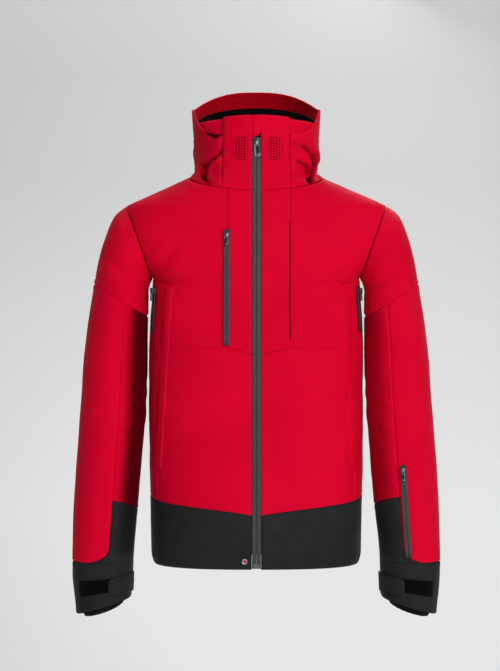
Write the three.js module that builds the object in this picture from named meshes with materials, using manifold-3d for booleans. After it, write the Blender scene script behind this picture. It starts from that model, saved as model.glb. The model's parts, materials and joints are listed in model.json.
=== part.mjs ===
// A hooded ski jacket, hanging as it does on its hang loop. Millimetres, +Z up, -Y to the front, +X to the
// wearer's left. Heights inside this file are measured from the hem; the whole jacket is then lowered so
// that the origin lies where a hook bears in the hang loop.
import * as THREE from "three";
import { mergeVertices } from "three/addons/utils/BufferGeometryUtils.js";
import Module from "manifold-3d";

const wasm = await Module();
wasm.setup();

// ---- Driving dimensions ------------------------------------------------------------------------------------
const CHEST_HALF = 197; // half the width across the chest, lying as worn
const SIDE_LENGTH = 525; // hem to the bottom of the armhole
const FRONT_DEPTH = 136; // centre front of the hem ahead of the side seams
const LEAN = 0.052; // the centre front runs straight, and falls back this much per millimetre of height
const BACK_DEPTH = 116; // the back behind the side seams
const ARMHOLE_RADIUS = 70;
const ARMHOLE_TILT = THREE.MathUtils.degToRad(20);
const ARMPIT_INSET = 6.4; // the armhole starts this far inside the side of the chest
const NECK_HALF = 114; // half the width of the neck hole
const SHOULDER_SLOPE = 0.439; // fall of the shoulder seam per millimetre outwards
const NECK_DROP = 32; // centre front of the neckline below its sides
const NECK_RISE = 17; // centre back of the neckline above its sides
const COLLAR_HEIGHT = 136; // chin guard, neckline to top edge
const HOOD_RISE = 152; // centre back of the neckline to the hood's rim
const HOOD_BULGE = 64; // how far the hood stands out behind the neckline
const SLEEVE_LENGTH = 585; // armpit to the sleeve's hem, along the inside
const HEM_BAND = 93; // charcoal band at the centre front
const HEM_BAND_SIDE = 126; // and at the side seams
const FABRIC = 5; // shell, membrane and lining together
const LINING = 4;
const FLAP = 2; // single thickness of a flap, welt or patch
const SEAM = 0.4; // half the gap kept between two pieces sewn together
const SEAT = 0.4; // gap under a piece that lies on another
const ROUND = 2.6; // roundness of the body's level sections, 2 being an ellipse
const NECK_ROUND = 2.2;

// Zips
const MAIN_ZIP_HALF = 8.1; // half the visible width of the main zip
const ZIP_HALF = 6; // half the visible width of a pocket zip
const TAPE = 1.6;
const SLOT = 0.8; // half the gap between the two rows of teeth, which the slider's web runs in
const WEB = 0.45; // half the web's thickness
const PLATE = 1.8; // thickness of a slider's plates
const PIN = 0.8; // radius of the puller's bar
const PIN_CLEARANCE = 0.4;
const BRIDGE = 1.2; // thickness of the bridge over the bar
const MAIN_SLIDER = { half: 5, length: 14, puller: 27, width: 8 };
const POCKET_SLIDER = { half: 4, length: 10, puller: 18, width: 6 };

// ---- Materials ---------------------------------------------------------------------------------------------
const standard = (color, roughness, metalness = 0) =>
  new THREE.MeshStandardMaterial({ color, roughness, metalness });
const RED = standard(0xb8031f, 0.8);
const CHARCOAL = standard(0x2c2c2d, 0.85);
const BLACK = standard(0x0b0b0c, 0.9);
const TAPE_GREY = standard(0x404042, 0.6);
const METAL = standard(0x6d6f73, 0.35, 0.9);
const RUBBER = standard(0x070708, 0.6);

// ---- Helpers -----------------------------------------------------------------------------------------------
const { lerp: mix, clamp, smoothstep } = THREE.MathUtils;

// Straight runs between [place, value] pairs.
function along(table, place) {
  const next = clamp(table.findIndex(([p]) => p > place), 1, table.length - 1);
  const end = place >= table[table.length - 1][0] ? table.length - 1 : next;
  const [p0, v0] = table[end - 1];
  const [p1, v1] = table[end];
  return mix(v0, v1, clamp((place - p0) / (p1 - p0), 0, 1));
}

// A smooth run through evenly spaced values; t counts the values from 0.
function spline(values, t) {
  const i = clamp(Math.floor(t), 0, values.length - 2);
  const [a, b, c, d] = [-1, 0, 1, 2].map((k) => values[clamp(i + k, 0, values.length - 1)]);
  const f = t - i;
  return b + 0.5 * f * (c - a + f * (2 * a - 5 * b + 4 * c - d + f * (3 * (b - c) + d - a)));
}

// Merges a mesh's shared corners and turns its faces outwards.
function closed(geometry) {
  geometry.deleteAttribute("normal");
  geometry.deleteAttribute("uv");
  const merged = mergeVertices(geometry, 1e-4);
  const index = merged.index.array;
  const corner = (k) => new THREE.Vector3().fromBufferAttribute(merged.attributes.position, index[k]);
  let volume = 0;
  for (let k = 0; k < index.length; k += 3) volume += corner(k).dot(corner(k + 1).cross(corner(k + 2)));
  if (volume < 0) {
    for (let k = 0; k < index.length; k += 3) [index[k], index[k + 1]] = [index[k + 1], index[k]];
  }
  merged.computeVertexNormals();
  return merged;
}

function reshape(geometry, place) {
  const position = geometry.attributes.position;
  for (let k = 0; k < position.count; k++) {
    const point = place(new THREE.Vector3().fromBufferAttribute(position, k));
    position.setXYZ(k, point.x, point.y, point.z);
  }
  return closed(geometry);
}

// A closed sheet of cloth: place(u, v, w) with u and v from 0 to 1 across it and w from 0 inside to 1 outside.
const sheet = (across, up, place) =>
  reshape(new THREE.BoxGeometry(1, 1, 1, across, up, 1), (p) => place(p.x + 0.5, p.y + 0.5, p.z + 0.5));

// A closed tube of cloth: u is the share of a turn around it.
function tube(around, up, place) {
  const wall = [new THREE.Vector2(1, 0)];
  for (let k = 0; k <= up; k++) wall.push(new THREE.Vector2(2, k / up));
  for (let k = up; k >= 0; k--) wall.push(new THREE.Vector2(1, k / up));
  return reshape(new THREE.LatheGeometry(wall, around), (p) => {
    const turn = Math.atan2(p.x, p.z) / (2 * Math.PI);
    return place((turn + 1) % 1, p.y, Math.hypot(p.x, p.z) - 1);
  });
}

function solid(geometry) {
  const merged = closed(geometry);
  const vertProperties = new Float32Array(merged.attributes.position.array);
  const triVerts = new Uint32Array(merged.index.array);
  return new wasm.Manifold(new wasm.Mesh({ numProp: 3, vertProperties, triVerts }));
}

function fromSolid(body) {
  const { vertProperties, triVerts, numProp } = body.getMesh();
  const geometry = new THREE.BufferGeometry();
  const xyz = new Float32Array((vertProperties.length / numProp) * 3);
  for (let k = 0; k < xyz.length; k++) xyz[k] = vertProperties[Math.floor(k / 3) * numProp + (k % 3)];
  geometry.setAttribute("position", new THREE.BufferAttribute(xyz, 3));
  geometry.setIndex(new THREE.BufferAttribute(new Uint32Array(triVerts), 1));
  geometry.computeVertexNormals();
  return geometry;
}

function named(name, geometry, material) {
  const mesh = new THREE.Mesh(geometry, material);
  mesh.name = name;
  return mesh;
}

const SIDES = [["right", -1], ["left", 1]]; // the wearer's
const mirrored = (geometry, side) => (side > 0 ? geometry : closed(geometry.clone().scale(-1, 1, 1)));

// ---- The body's surface ------------------------------------------------------------------------------------
// Around the body g runs from 0 at the centre front over 1 at the wearer's left side to 2 at the centre back
// and on to 4 at the centre front again.
const armhole = {
  x: CHEST_HALF - ARMPIT_INSET + ARMHOLE_RADIUS * Math.sin(ARMHOLE_TILT),
  z: SIDE_LENGTH + ARMHOLE_RADIUS * Math.cos(ARMHOLE_TILT),
  rise: ARMHOLE_RADIUS * Math.cos(ARMHOLE_TILT),
};
const shoulderTip = { x: armhole.x + ARMHOLE_RADIUS * Math.sin(ARMHOLE_TILT), z: armhole.z + armhole.rise };
const neckSide = shoulderTip.z + (shoulderTip.x - NECK_HALF) * SHOULDER_SLOPE;
const neckFront = neckSide - NECK_DROP;
const neckBack = neckSide + NECK_RISE;

const frontDepth = (z) => FRONT_DEPTH - LEAN * z;
const backProfile = [[0, 0], [0.2, -7], [0.42, -11], [0.62, 2], [0.78, 7], [0.92, -5], [1, -24]];
const backDepth = (z) => BACK_DEPTH + along(backProfile, z / neckBack);

function halfWidth(z) {
  if (z < SIDE_LENGTH) {
    const waist = SIDE_LENGTH * 0.76;
    const side = [[0, -9], [16, -4], [230, 0], [waist, 0], [SIDE_LENGTH, -ARMPIT_INSET]];
    return CHEST_HALF + along(side, z);
  }
  if (z < shoulderTip.z) return armhole.x + (z - armhole.z) * Math.tan(ARMHOLE_TILT);
  if (z < neckSide) return shoulderTip.x - (z - shoulderTip.z) / SHOULDER_SLOPE;
  return NECK_HALF - 0.9 * (z - neckSide);
}

// Half the front-to-back width of the armhole at a height.
const armholeDepth = (z) =>
  ARMHOLE_RADIUS * Math.sqrt(clamp(1 - ((z - armhole.z) / armhole.rise) ** 2, 0, 1));

function fold(g) {
  const turn = ((g % 4) + 4) % 4;
  const around = turn <= 2 ? turn : 4 - turn;
  return { side: turn <= 2 ? 1 : -1, front: around <= 1, share: around <= 1 ? around : 2 - around };
}

// A level section: half width, depth, and the flat depth that it ends in at the side.
function section(g, z, half, depth, round, flat = 0) {
  const { side, front, share } = fold(g);
  const s = Math.sin((share * Math.PI) / 2) ** round;
  const c = Math.max(Math.cos((share * Math.PI) / 2), 0) ** round;
  const power = mix(round, 1.3, flat / ARMHOLE_RADIUS);
  const y = flat + (depth - flat) * (c / (s + c)) ** (1 / power);
  return new THREE.Vector3(side * half * (s / (s + c)) ** (1 / round), front ? -y : y, z);
}

const depthAt = (g, z) => (fold(g).front ? frontDepth(z) : backDepth(z));
const body = (g, z) => section(g, z, halfWidth(z), depthAt(g, z), ROUND, armholeDepth(z));

function neckline(g) {
  const { front, share } = fold(g);
  return mix(front ? neckFront : neckBack, neckSide, Math.sin((share * Math.PI) / 2) ** 1.8);
}

// The standing collar above the neckline.
const collarDepth = (g, z) => (fold(g).front ? frontDepth(z) : backDepth(neckBack) - 0.03 * (z - neckBack));
const collar = (g, z) => section(g, z, NECK_HALF - 2 - 0.03 * (z - neckSide), collarDepth(g, z), NECK_ROUND);

// The hood: v runs from 0 at the neckline to 1 at the rim.
const rimFront = neckFront + 101;
const rimSide = neckSide + 124;
const rimBack = neckBack + HOOD_RISE;
function rim(g) {
  const { front, share } = fold(g);
  return mix(front ? rimFront : rimBack, rimSide, Math.sin((share * Math.PI) / 2) ** (front ? 7 : 3.6));
}
const hoodHalf = [[0, 0], [0.3, 7], [0.6, 9], [0.85, 6], [1, 4]];
const hoodBack = [[0, 0.02], [0.15, 0.38], [0.35, 0.78], [0.6, 1], [0.8, 0.95], [1, 0.55]];
function hood(g, v) {
  const foot = body(g, neckline(g));
  const z = mix(foot.z, rim(g), v);
  const depth = fold(g).front ? frontDepth(z) : backDepth(neckBack) + HOOD_BULGE * along(hoodBack, v);
  const grown = section(g, z, NECK_HALF + along(hoodHalf, v), depth, NECK_ROUND);
  return new THREE.Vector3(foot.x, foot.y, z).lerp(grown, smoothstep(v, 0, 0.3));
}

// A point off a surface, out along its normal.
function off(surface, a, b, distance, stepA = 0.004, stepB = 1) {
  const across = surface(a + stepA, b).sub(surface(a - stepA, b));
  const up = surface(a, b + stepB).sub(surface(a, b - stepB));
  return surface(a, b).addScaledVector(across.cross(up).normalize(), distance);
}

// Where around the wearer's left front a surface is x from the centre line.
function aroundAt(surface, x, b) {
  let low = 0;
  let high = 1;
  for (let k = 0; k < 30; k++) {
    const middle = (low + high) / 2;
    if (surface(middle, b).x < x) low = middle;
    else high = middle;
  }
  return (low + high) / 2;
}

// ---- Body panels -------------------------------------------------------------------------------------------
// A panel lies between from(z) and to(z) around the body, and between two or more levels, each a height
// for a place around. rows counts the mesh rows between one level and the next.
function panel(from, to, levels, rows, across, inner = -FABRIC, outer = 0) {
  const total = rows.reduce((sum, count) => sum + count, 0);
  return sheet(across, total, (u, v, w) => {
    let row = v * total;
    let level = 0;
    while (level < rows.length - 1 && row > rows[level] + 1e-6) row -= rows[level++];
    const share = row / rows[level];
    let z = mix(levels[level](1), levels[level + 1](1), share);
    let g = 1;
    for (let k = 0; k < 6; k++) {
      g = mix(from(z), to(z), u);
      z = mix(levels[level](g), levels[level + 1](g), share);
    }
    return off(body, g, z, mix(inner, outer, w));
  });
}

// Around the armhole the body stops a little shorter than at a seam, because the sleeve swings there.
const armGap = (z) => edgeGap + (0.028 * armholeDepth(z)) / ARMHOLE_RADIUS;
const seamAt = (x, gap) => (z) => aroundAt(body, x + gap, z);
const edgeGap = SEAM / 100; // a seam's half gap as a share around the body
const zipEdge = seamAt(MAIN_ZIP_HALF, SEAM);

// Seam lines on the front, from the centre line.
const chestZipX = 53; // chest zip on the wearer's right
const slitX = 61; // free edge of the storm flap on the wearer's left
const flapSeamX = 84; // its stitched edge
const vSeam = [SIDE_LENGTH * 0.725, SIDE_LENGTH * 0.755]; // V seam at the zip and at the yoke's corner
const weltTop = SIDE_LENGTH - 14;
const slantRise = 12; // the side panel's top edge rises this much from its seams to the armpit
const frontSeamX = (z) => mix(CHEST_HALF - 19, CHEST_HALF - 40, clamp((z - 172) / (weltTop - 172), 0, 1));
const frontSeam = (gap) => (z) => aroundAt(body, frontSeamX(z) + gap, z);
const backSeam = 1.42; // around the body
const weltPlace = aroundAt(body, frontSeamX(weltTop), weltTop);
const slant = (g) => {
  const share = g < 1 ? (g - weltPlace) / (1 - weltPlace) : (backSeam - g) / (backSeam - 1);
  return weltTop + slantRise * clamp(share, 0, 1);
};
const hemTop = (g) => mix(HEM_BAND, HEM_BAND_SIDE, fold(g).share ** 0.7);
const aboveHem = (g) => hemTop(g) + 3 * SEAM;
const vLine = (yokeX) => (g) =>
  mix(vSeam[0], vSeam[1], clamp(body(g, vSeam[0]).x / yokeX, 0, 1));
const above = (level) => (g) => level(g) + SEAM;
const below = (level) => (g) => level(g) - SEAM;
const flat = (z) => () => z;

function bodyPanels() {
  const parts = [];
  for (const [name, side] of SIDES) {
    const yokeX = side > 0 ? slitX : chestZipX;
    const chestSide = (z) => mix(frontSeam(-SEAM)(z), 1 - armGap(z), clamp((z - weltTop) / slantRise, 0, 1));
    const top = below(neckline);
    const pieces = {
      front_yoke: panel(zipEdge, seamAt(yokeX, -SEAM), [above(vLine(yokeX)), top], [8], 3),
      front_chest: panel(seamAt(yokeX, SEAM), chestSide,
        [flat(vSeam[1] + SEAM), flat(weltTop), flat(weltTop + slantRise), flat(SIDE_LENGTH + 8),
          flat(shoulderTip.z - 6), top], [3, 4, 2, 4, 4], 8),
      front_lower: panel(zipEdge, frontSeam(-SEAM), [aboveHem, below(vLine(yokeX))], [6], 8),
      side: panel(frontSeam(SEAM), () => backSeam - edgeGap,
        [aboveHem, (g) => slant(g) - 3 * SEAM], [8], 10),
    };
    for (const [piece, geometry] of Object.entries(pieces)) {
      parts.push(named(`${piece}_${name}`, mirrored(geometry, side), RED));
    }
    parts.push(named(`hem_front_${name}`,
      mirrored(panel(zipEdge, () => 1 - edgeGap, [flat(0), below(hemTop)], [3], 12), side), CHARCOAL));
  }
  const yokeSeam = SIDE_LENGTH * 1.04;
  const backSide = (z) => mix(backSeam, 1, clamp((z - weltTop) / slantRise, 0, 1)) + armGap(z);
  parts.push(
    named("hem_back", panel(() => 1 + edgeGap, () => 3 - edgeGap, [flat(0), below(hemTop)], [3], 22), CHARCOAL),
    named("back_body", panel(backSide, (z) => 4 - backSide(z),
      [aboveHem, flat(weltTop), flat(weltTop + slantRise), flat(yokeSeam - SEAM)], [4, 4, 5], 14), RED),
    named("back_yoke", panel((z) => 1 + armGap(z), (z) => 3 - armGap(z), [flat(yokeSeam + SEAM), flat(shoulderTip.z - 6), below(neckline)],
      [4, 5], 16), RED),
  );
  return parts;
}

// ---- Collar and hood ---------------------------------------------------------------------------------------
const chinX = 62; // side edge of the chin guard
const chinTop = neckFront + COLLAR_HEIGHT;
const hoodSplit = 1; // place around where the part of the hood that falls back begins

function collarPieces() {
  const parts = [];
  const edge = (x) => aroundAt(collar, x, neckSide);
  const chin = sheet(5, 8, (u, v, w) => {
    const g = mix(edge(MAIN_ZIP_HALF + SEAM), edge(chinX - SEAM), u);
    const z = mix(neckline(g) + SEAM, chinTop - 10 * u * u, v);
    return off(collar, g, z, mix(-FABRIC, 0, w));
  });
  for (const [name, side] of SIDES) parts.push(named(`chin_guard_${name}`, mirrored(chin, side), RED));
  const start = edge(chinX - 22);
  parts.push(named("inner_collar", sheet(26, 4, (u, v, w) => {
    const g = mix(start, 4 - start, u);
    const { front, share } = fold(g);
    const top = front ? mix(chinTop - 12, neckSide + 84, share) : mix(neckBack + 110, neckSide + 84, share ** 2);
    const z = mix(neckline(g) + 1, top, v);
    return off(collar, g, z, mix(-LINING, 0, w) - FABRIC - SEAT);
  }), BLACK));
  return parts;
}

function hoodPieces() {
  const foot = 0.006; // gap above the neckline as a share of the hood's height
  const shell = (from, to, across, low = foot) =>
    sheet(across, 8, (u, v, w) => off(hood, mix(from(v), to(v), u), mix(low, 1, v), mix(-FABRIC, 0, w), 0.004, 0.005));
  const front = (v) => aroundAt(hood, chinX + 4 * SEAM, clamp(v, foot, 1));
  const cheek = shell(front, () => hoodSplit - edgeGap / 2, 6);
  const sidePart = shell(() => hoodSplit + edgeGap / 2, () => 1.6 - edgeGap, 7, 0.014);
  const parts = [named("hood_back", shell(() => 1.6 + edgeGap, () => 2.4 - edgeGap, 8, 0.014), RED)];
  for (const [name, side] of SIDES) {
    parts.push(named(`hood_cheek_${name}`, mirrored(cheek, side), RED));
    parts.push(named(`hood_side_${name}`, mirrored(sidePart, side), RED));
  }
  return parts;
}

// A flat band bent into an arch, its ends against the back of the inner collar.
const LOOP = { half: 30, rise: 22, width: 6, thickness: 1.6, foot: neckBack + 14 };
const loopBack = (() => {
  const top = LOOP.foot + LOOP.rise + LOOP.width;
  let g = 2;
  while (collar(g, top).x < LOOP.half + LOOP.width) g -= 0.002;
  return off(collar, g, top, -FABRIC - SEAT - LINING - 2 * SEAT).y;
})();
function hangLoop() {
  const outline = new THREE.Shape();
  outline.absellipse(0, 0, LOOP.half + LOOP.width, LOOP.rise + LOOP.width, 0, Math.PI, false);
  outline.lineTo(-LOOP.half, 0);
  outline.absellipse(0, 0, LOOP.half, LOOP.rise, Math.PI, 0, true);
  const geometry = new THREE.ExtrudeGeometry(outline,
    { depth: LOOP.thickness, bevelEnabled: false, curveSegments: 14 });
  geometry.rotateX(Math.PI / 2);
  geometry.translate(0, loopBack, LOOP.foot);
  return named("hang_loop", closed(geometry), BLACK);
}

// ---- Zips --------------------------------------------------------------------------------------------------
// Each zip is made lying in its own frame: +Z up along it from its top end at the origin, -Y out of the cloth.
function block(width, depth, height, x, y, z) {
  return new THREE.BoxGeometry(width, depth, height).translate(x, y, z);
}

const barHeight = PLATE + PIN + PIN_CLEARANCE; // of the puller's bar, over the slider's front face

function slider({ half, length }) {
  const back = TAPE + SEAT;
  const outline = new THREE.Shape([
    [-half, 0], [-half * 0.8, -length], [half * 0.8, -length], [half, 0]].map((p) => new THREE.Vector2(...p)));
  const plate = (y) =>
    solid(new THREE.ExtrudeGeometry(outline, { depth: PLATE, bevelEnabled: false }).rotateX(Math.PI / 2).translate(0, y, 0));
  const arch = new THREE.Shape();
  arch.absarc(0, 0, PIN + PIN_CLEARANCE + BRIDGE, 0, Math.PI, false);
  arch.lineTo(-PIN - PIN_CLEARANCE - BRIDGE, -PIN - PIN_CLEARANCE - 0.3);
  arch.lineTo(-PIN - PIN_CLEARANCE, -PIN - PIN_CLEARANCE - 0.3);
  arch.absarc(0, 0, PIN + PIN_CLEARANCE, Math.PI, 0, true);
  arch.lineTo(PIN + PIN_CLEARANCE, -PIN - PIN_CLEARANCE - 0.3);
  arch.lineTo(PIN + PIN_CLEARANCE + BRIDGE, -PIN - PIN_CLEARANCE - 0.3);
  const bridge = new THREE.ExtrudeGeometry(arch, { depth: 2, bevelEnabled: false, curveSegments: 8 })
    .translate(0, 0, -1).rotateY(Math.PI / 2).rotateX(Math.PI / 2)
    .translate(0, -SEAT - barHeight, -length / 2);
  const web = solid(block(WEB * 2, back + SEAT + PLATE, length * 0.7, 0, (back - SEAT) / 2, -length / 2));
  return fromSolid(plate(-SEAT).add(plate(back + PLATE)).add(web).add(solid(bridge)));
}

// The puller hangs from its bar, with a window for the bridge and a grip below.
function puller({ puller: length, width }) {
  const eye = PIN + PIN_CLEARANCE + BRIDGE + 1;
  const outline = new THREE.Shape();
  outline.moveTo(-width * 0.35, PIN);
  outline.lineTo(width * 0.35, PIN);
  outline.lineTo(width * 0.5, -eye - 1);
  outline.lineTo(width * 0.4, -length + 2);
  outline.lineTo(width * 0.25, -length);
  outline.lineTo(-width * 0.25, -length);
  outline.lineTo(-width * 0.4, -length + 2);
  outline.lineTo(-width * 0.5, -eye - 1);
  const window = new THREE.Path([[-1.6, -PIN], [-1.6, -eye], [1.6, -eye], [1.6, -PIN]]
    .map((p) => new THREE.Vector2(...p)));
  outline.holes.push(window);
  return closed(new THREE.ExtrudeGeometry(outline, { depth: PIN * 2, bevelEnabled: false })
    .translate(0, 0, -PIN).rotateX(Math.PI / 2));
}

const pivotOf = ({ length }) => new THREE.Vector3(0, -SEAT - barHeight, -length / 2);

// A tape with its slot, one piece: a flat strip of the given length under its top end.
function slottedTape(length) {
  const strip = new THREE.Shape([[-ZIP_HALF, 0], [-ZIP_HALF, -length], [ZIP_HALF, -length], [ZIP_HALF, 0]]
    .map((p) => new THREE.Vector2(...p)));
  const end = 4;
  strip.holes.push(new THREE.Path([[-SLOT, -end], [SLOT, -end], [SLOT, end - length], [-SLOT, end - length]]
    .map((p) => new THREE.Vector2(...p))));
  return closed(new THREE.ExtrudeGeometry(strip, { depth: TAPE, bevelEnabled: false })
    .rotateX(Math.PI / 2).translate(0, TAPE, 0));
}

// A group whose -Y faces out of a surface and whose Z runs from its bottom place to its top place, far
// enough out that a strip of this half width clears the surface by SEAT. Room is left behind it for the
// slider's back plate.
function strapFrame(surface, top, bottom, half, depth) {
  const start = surface(...top);
  const up = start.clone().sub(surface(...bottom)).normalize();
  const middle = top.map((value, k) => (value + bottom[k]) / 2);
  const outward = off(surface, ...middle, 1).sub(surface(...middle));
  outward.addScaledVector(up, -outward.dot(up)).normalize();
  const across = up.clone().cross(outward).multiplyScalar(1);
  let high = 0;
  for (let k = 0; k <= 12; k++) {
    const place = top.map((value, i) => mix(value, bottom[i], k / 12));
    for (const shift of [-half, 0, half]) {
      const reach = shift / surface(place[0] + 0.01, place[1]).distanceTo(surface(place[0], place[1]));
      const point = surface(place[0] + 0.01 * reach, place[1]);
      high = Math.max(high, point.sub(start).dot(outward));
    }
  }
  const group = new THREE.Group();
  group.position.copy(start).addScaledVector(outward, high + SEAT + depth);
  group.setRotationFromMatrix(new THREE.Matrix4().makeBasis(across, outward.clone().negate(), up));
  return group;
}

const behindTape = TAPE + SEAT + PLATE; // tape, and the slider's back plate behind it

// A pocket zip of tape, slider and puller in its group, the slider just under its top end.
function pocketZip(name, group, length) {
  const start = 5;
  const tape = named(`${name}_tape`, slottedTape(length), TAPE_GREY);
  const runner = named(`${name}_slider`, slider(POCKET_SLIDER), METAL);
  runner.position.set(0, 0, -start);
  const tab = named(`${name}_puller`, puller(POCKET_SLIDER), METAL);
  tab.position.copy(pivotOf(POCKET_SLIDER)).add(runner.position);
  group.add(tape, runner, tab);
  return group;
}

function mainZip() {
  const group = new THREE.Group();
  const lean = Math.atan(LEAN);
  const top = (chinTop - 40) / Math.cos(lean); // height of the zip's top, along it
  group.position.set(0, -FRONT_DEPTH, 0);
  group.rotation.x = -lean;
  const inset = SEAT;
  for (const [name, side] of SIDES) {
    const half = (MAIN_ZIP_HALF - SLOT) / 2;
    const tape = block(half * 2, TAPE, top - 2, side * (SLOT + half), inset + TAPE / 2, (top + 2) / 2);
    group.add(named(`main_tape_${name}`, closed(tape), TAPE_GREY));
  }
  const runner = named("main_slider", slider(MAIN_SLIDER), METAL);
  runner.position.set(0, inset, top - 2);
  const tab = named("main_puller", puller(MAIN_SLIDER), METAL);
  tab.position.copy(pivotOf(MAIN_SLIDER)).add(runner.position);
  const box = closed(block(11, 1.6, 8, 0, inset - SEAT - 0.8, 6));
  group.add(runner, tab, named("main_box", box, METAL));
  // The garage: a flap from the top edge of the collar down over the end of the zip.
  const cover = new THREE.Shape([[-9, 0], [20, 0], [11, -24], [8, -36], [-7, -36]]
    .map((p) => new THREE.Vector2(...p)));
  const flap = new THREE.ExtrudeGeometry(cover, { depth: FLAP, bevelEnabled: false })
    .rotateX(Math.PI / 2).translate(0, -SEAT, top + 39.5);
  group.add(named("zip_garage", closed(flap), RED));
  return group;
}

// ---- Pieces on the body ------------------------------------------------------------------------------------
function chestZip() {
  const top = 608 / 525 * SIDE_LENGTH;
  const bottom = vSeam[1] + 3;
  const place = (z) => [4 - aroundAt(body, chestZipX, z), z];
  const group = strapFrame(body, place(top), place(bottom), ZIP_HALF, behindTape);
  return pocketZip("chest", group, top - bottom);
}

function pitZips() {
  const parts = [];
  const top = SIDE_LENGTH - 16;
  const length = 84;
  const around = 0.74;
  for (const [name, side] of SIDES) {
    const g = side > 0 ? around : 4 - around;
    parts.push(pocketZip(`pit_${name}`, strapFrame(body, [g, top], [g, top - length], ZIP_HALF, behindTape), length));
  }
  return parts;
}

function stormFlap() {
  const bottom = vSeam[1] + 16;
  const top = 620 / 525 * SIDE_LENGTH;
  return named("storm_flap", panel(seamAt(slitX, SEAM), seamAt(flapSeamX, 0),
    [flat(bottom), flat(top)], [8], 2, SEAT, SEAT + FLAP), RED);
}

function welts() {
  const width = 13;
  const level = (z) => () => z;
  const strip = panel((z) => aroundAt(body, frontSeamX(z) - width / 2, z),
    (z) => aroundAt(body, frontSeamX(z) + width / 2, z),
    [level(HEM_BAND_SIDE + 50), level(weltTop - 4)], [9], 2, SEAT, SEAT + FLAP);
  return SIDES.map(([name, side]) => named(`pocket_welt_${name}`, mirrored(strip, side), RED));
}

const SNAP = { x: 21.4, z: 14.8, radius: 7, height: 2.5 };
function hemSnap() {
  const g = 4 - aroundAt(body, SNAP.x, SNAP.z);
  const group = strapFrame(body, [g, SNAP.z + SNAP.radius], [g, SNAP.z - SNAP.radius], SNAP.radius, 0);
  const cap = new THREE.CylinderGeometry(SNAP.radius - 1, SNAP.radius, SNAP.height, 24)
    .rotateX(Math.PI).translate(0, -SNAP.height / 2, -SNAP.radius);
  group.add(named("hem_snap", closed(cap), METAL));
  return group;
}

// ---- Sleeves -----------------------------------------------------------------------------------------------
// Stations from the armhole to the hem. Each gives the outer line and the inner line as [out, up]: out is
// measured from the side of the chest and up from the armpit, as a share of the armhole's height above it
// and of the sleeve's length below it. Then come half the depth, and how far the arm has come forward.
const STATIONS = [
  { outer: [41.4, 1], inner: [-6.4, 0], depth: 70, forward: 0 },
  { outer: [65, 0.86], inner: [-0.5, -0.017], depth: 73, forward: 1 },
  { outer: [82.4, 0.55], inner: [2.5, -0.045], depth: 75, forward: 2 },
  { outer: [97, 0.11], inner: [3.5, -0.095], depth: 76, forward: 4 },
  { outer: [108, -0.085], inner: [3.5, -0.163], depth: 75, forward: 7 },
  { outer: [119, -0.23], inner: [3.5, -0.265], depth: 72, forward: 12 },
  { outer: [126.2, -0.406], inner: [6.5, -0.406], depth: 68, forward: 20 },
  { outer: [132.8, -0.607], inner: [14.3, -0.607], depth: 62, forward: 30 },
  { outer: [137, -0.706], inner: [18.7, -0.706], depth: 60, forward: 35 },
  { outer: [138.5, -0.808], inner: [24.8, -0.808], depth: 59, forward: 40 },
  { outer: [138.2, -0.884], inner: [28.3, -0.884], depth: 58, forward: 43 },
  { outer: [136, -0.96], inner: [29.5, -0.953], depth: 57, forward: 46 },
  { outer: [131, -1.048], inner: [31, -0.997], depth: 54, forward: 49 },
];
const rise = (share) => SIDE_LENGTH + share * (share > 0 ? 2 * armhole.rise : SLEEVE_LENGTH);
const outerX = STATIONS.map((s) => CHEST_HALF + s.outer[0]);
const outerZ = STATIONS.map((s) => rise(s.outer[1]));
const innerX = STATIONS.map((s) => CHEST_HALF + s.inner[0]);
const innerZ = STATIONS.map((s) => rise(s.inner[1]));
const sleeveDepth = STATIONS.map((s) => s.depth);
const sleeveForward = STATIONS.map((s) => s.forward);
outerX[0] = shoulderTip.x;
outerZ[0] = shoulderTip.z;
innerX[0] = CHEST_HALF - ARMPIT_INSET;
sleeveDepth[0] = ARMHOLE_RADIUS;

// Around the sleeve turn runs from 0 at the outer line over 0.25 at the front and 0.5 inside to 0.75 behind.
function sleeve(turn, station, inset = 0) {
  const outer = new THREE.Vector3(spline(outerX, station), 0, spline(outerZ, station));
  const inner = new THREE.Vector3(spline(innerX, station), 0, spline(innerZ, station));
  const arm = outer.clone().sub(inner).multiplyScalar(0.5);
  const half = arm.length() - inset;
  const middle = outer.add(inner).multiplyScalar(0.5);
  const round = 2 / mix(2, 2.25, clamp(station, 0, 1));
  const cos = Math.cos(turn * 2 * Math.PI);
  const sin = Math.sin(turn * 2 * Math.PI);
  const point = middle.addScaledVector(arm.normalize(), half * Math.sign(cos) * Math.abs(cos) ** round);
  const depth = spline(sleeveDepth, station) - inset;
  point.y = -spline(sleeveForward, station) - depth * Math.sign(sin) * Math.abs(sin) ** round;
  return point;
}

const place = { bicep: 3.45, forearm: 8, cuff: 10, hem: 12 };
const turns = { top: 0.285, under: 0.79 }; // the front and the back seam between top and under sleeve

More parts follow.
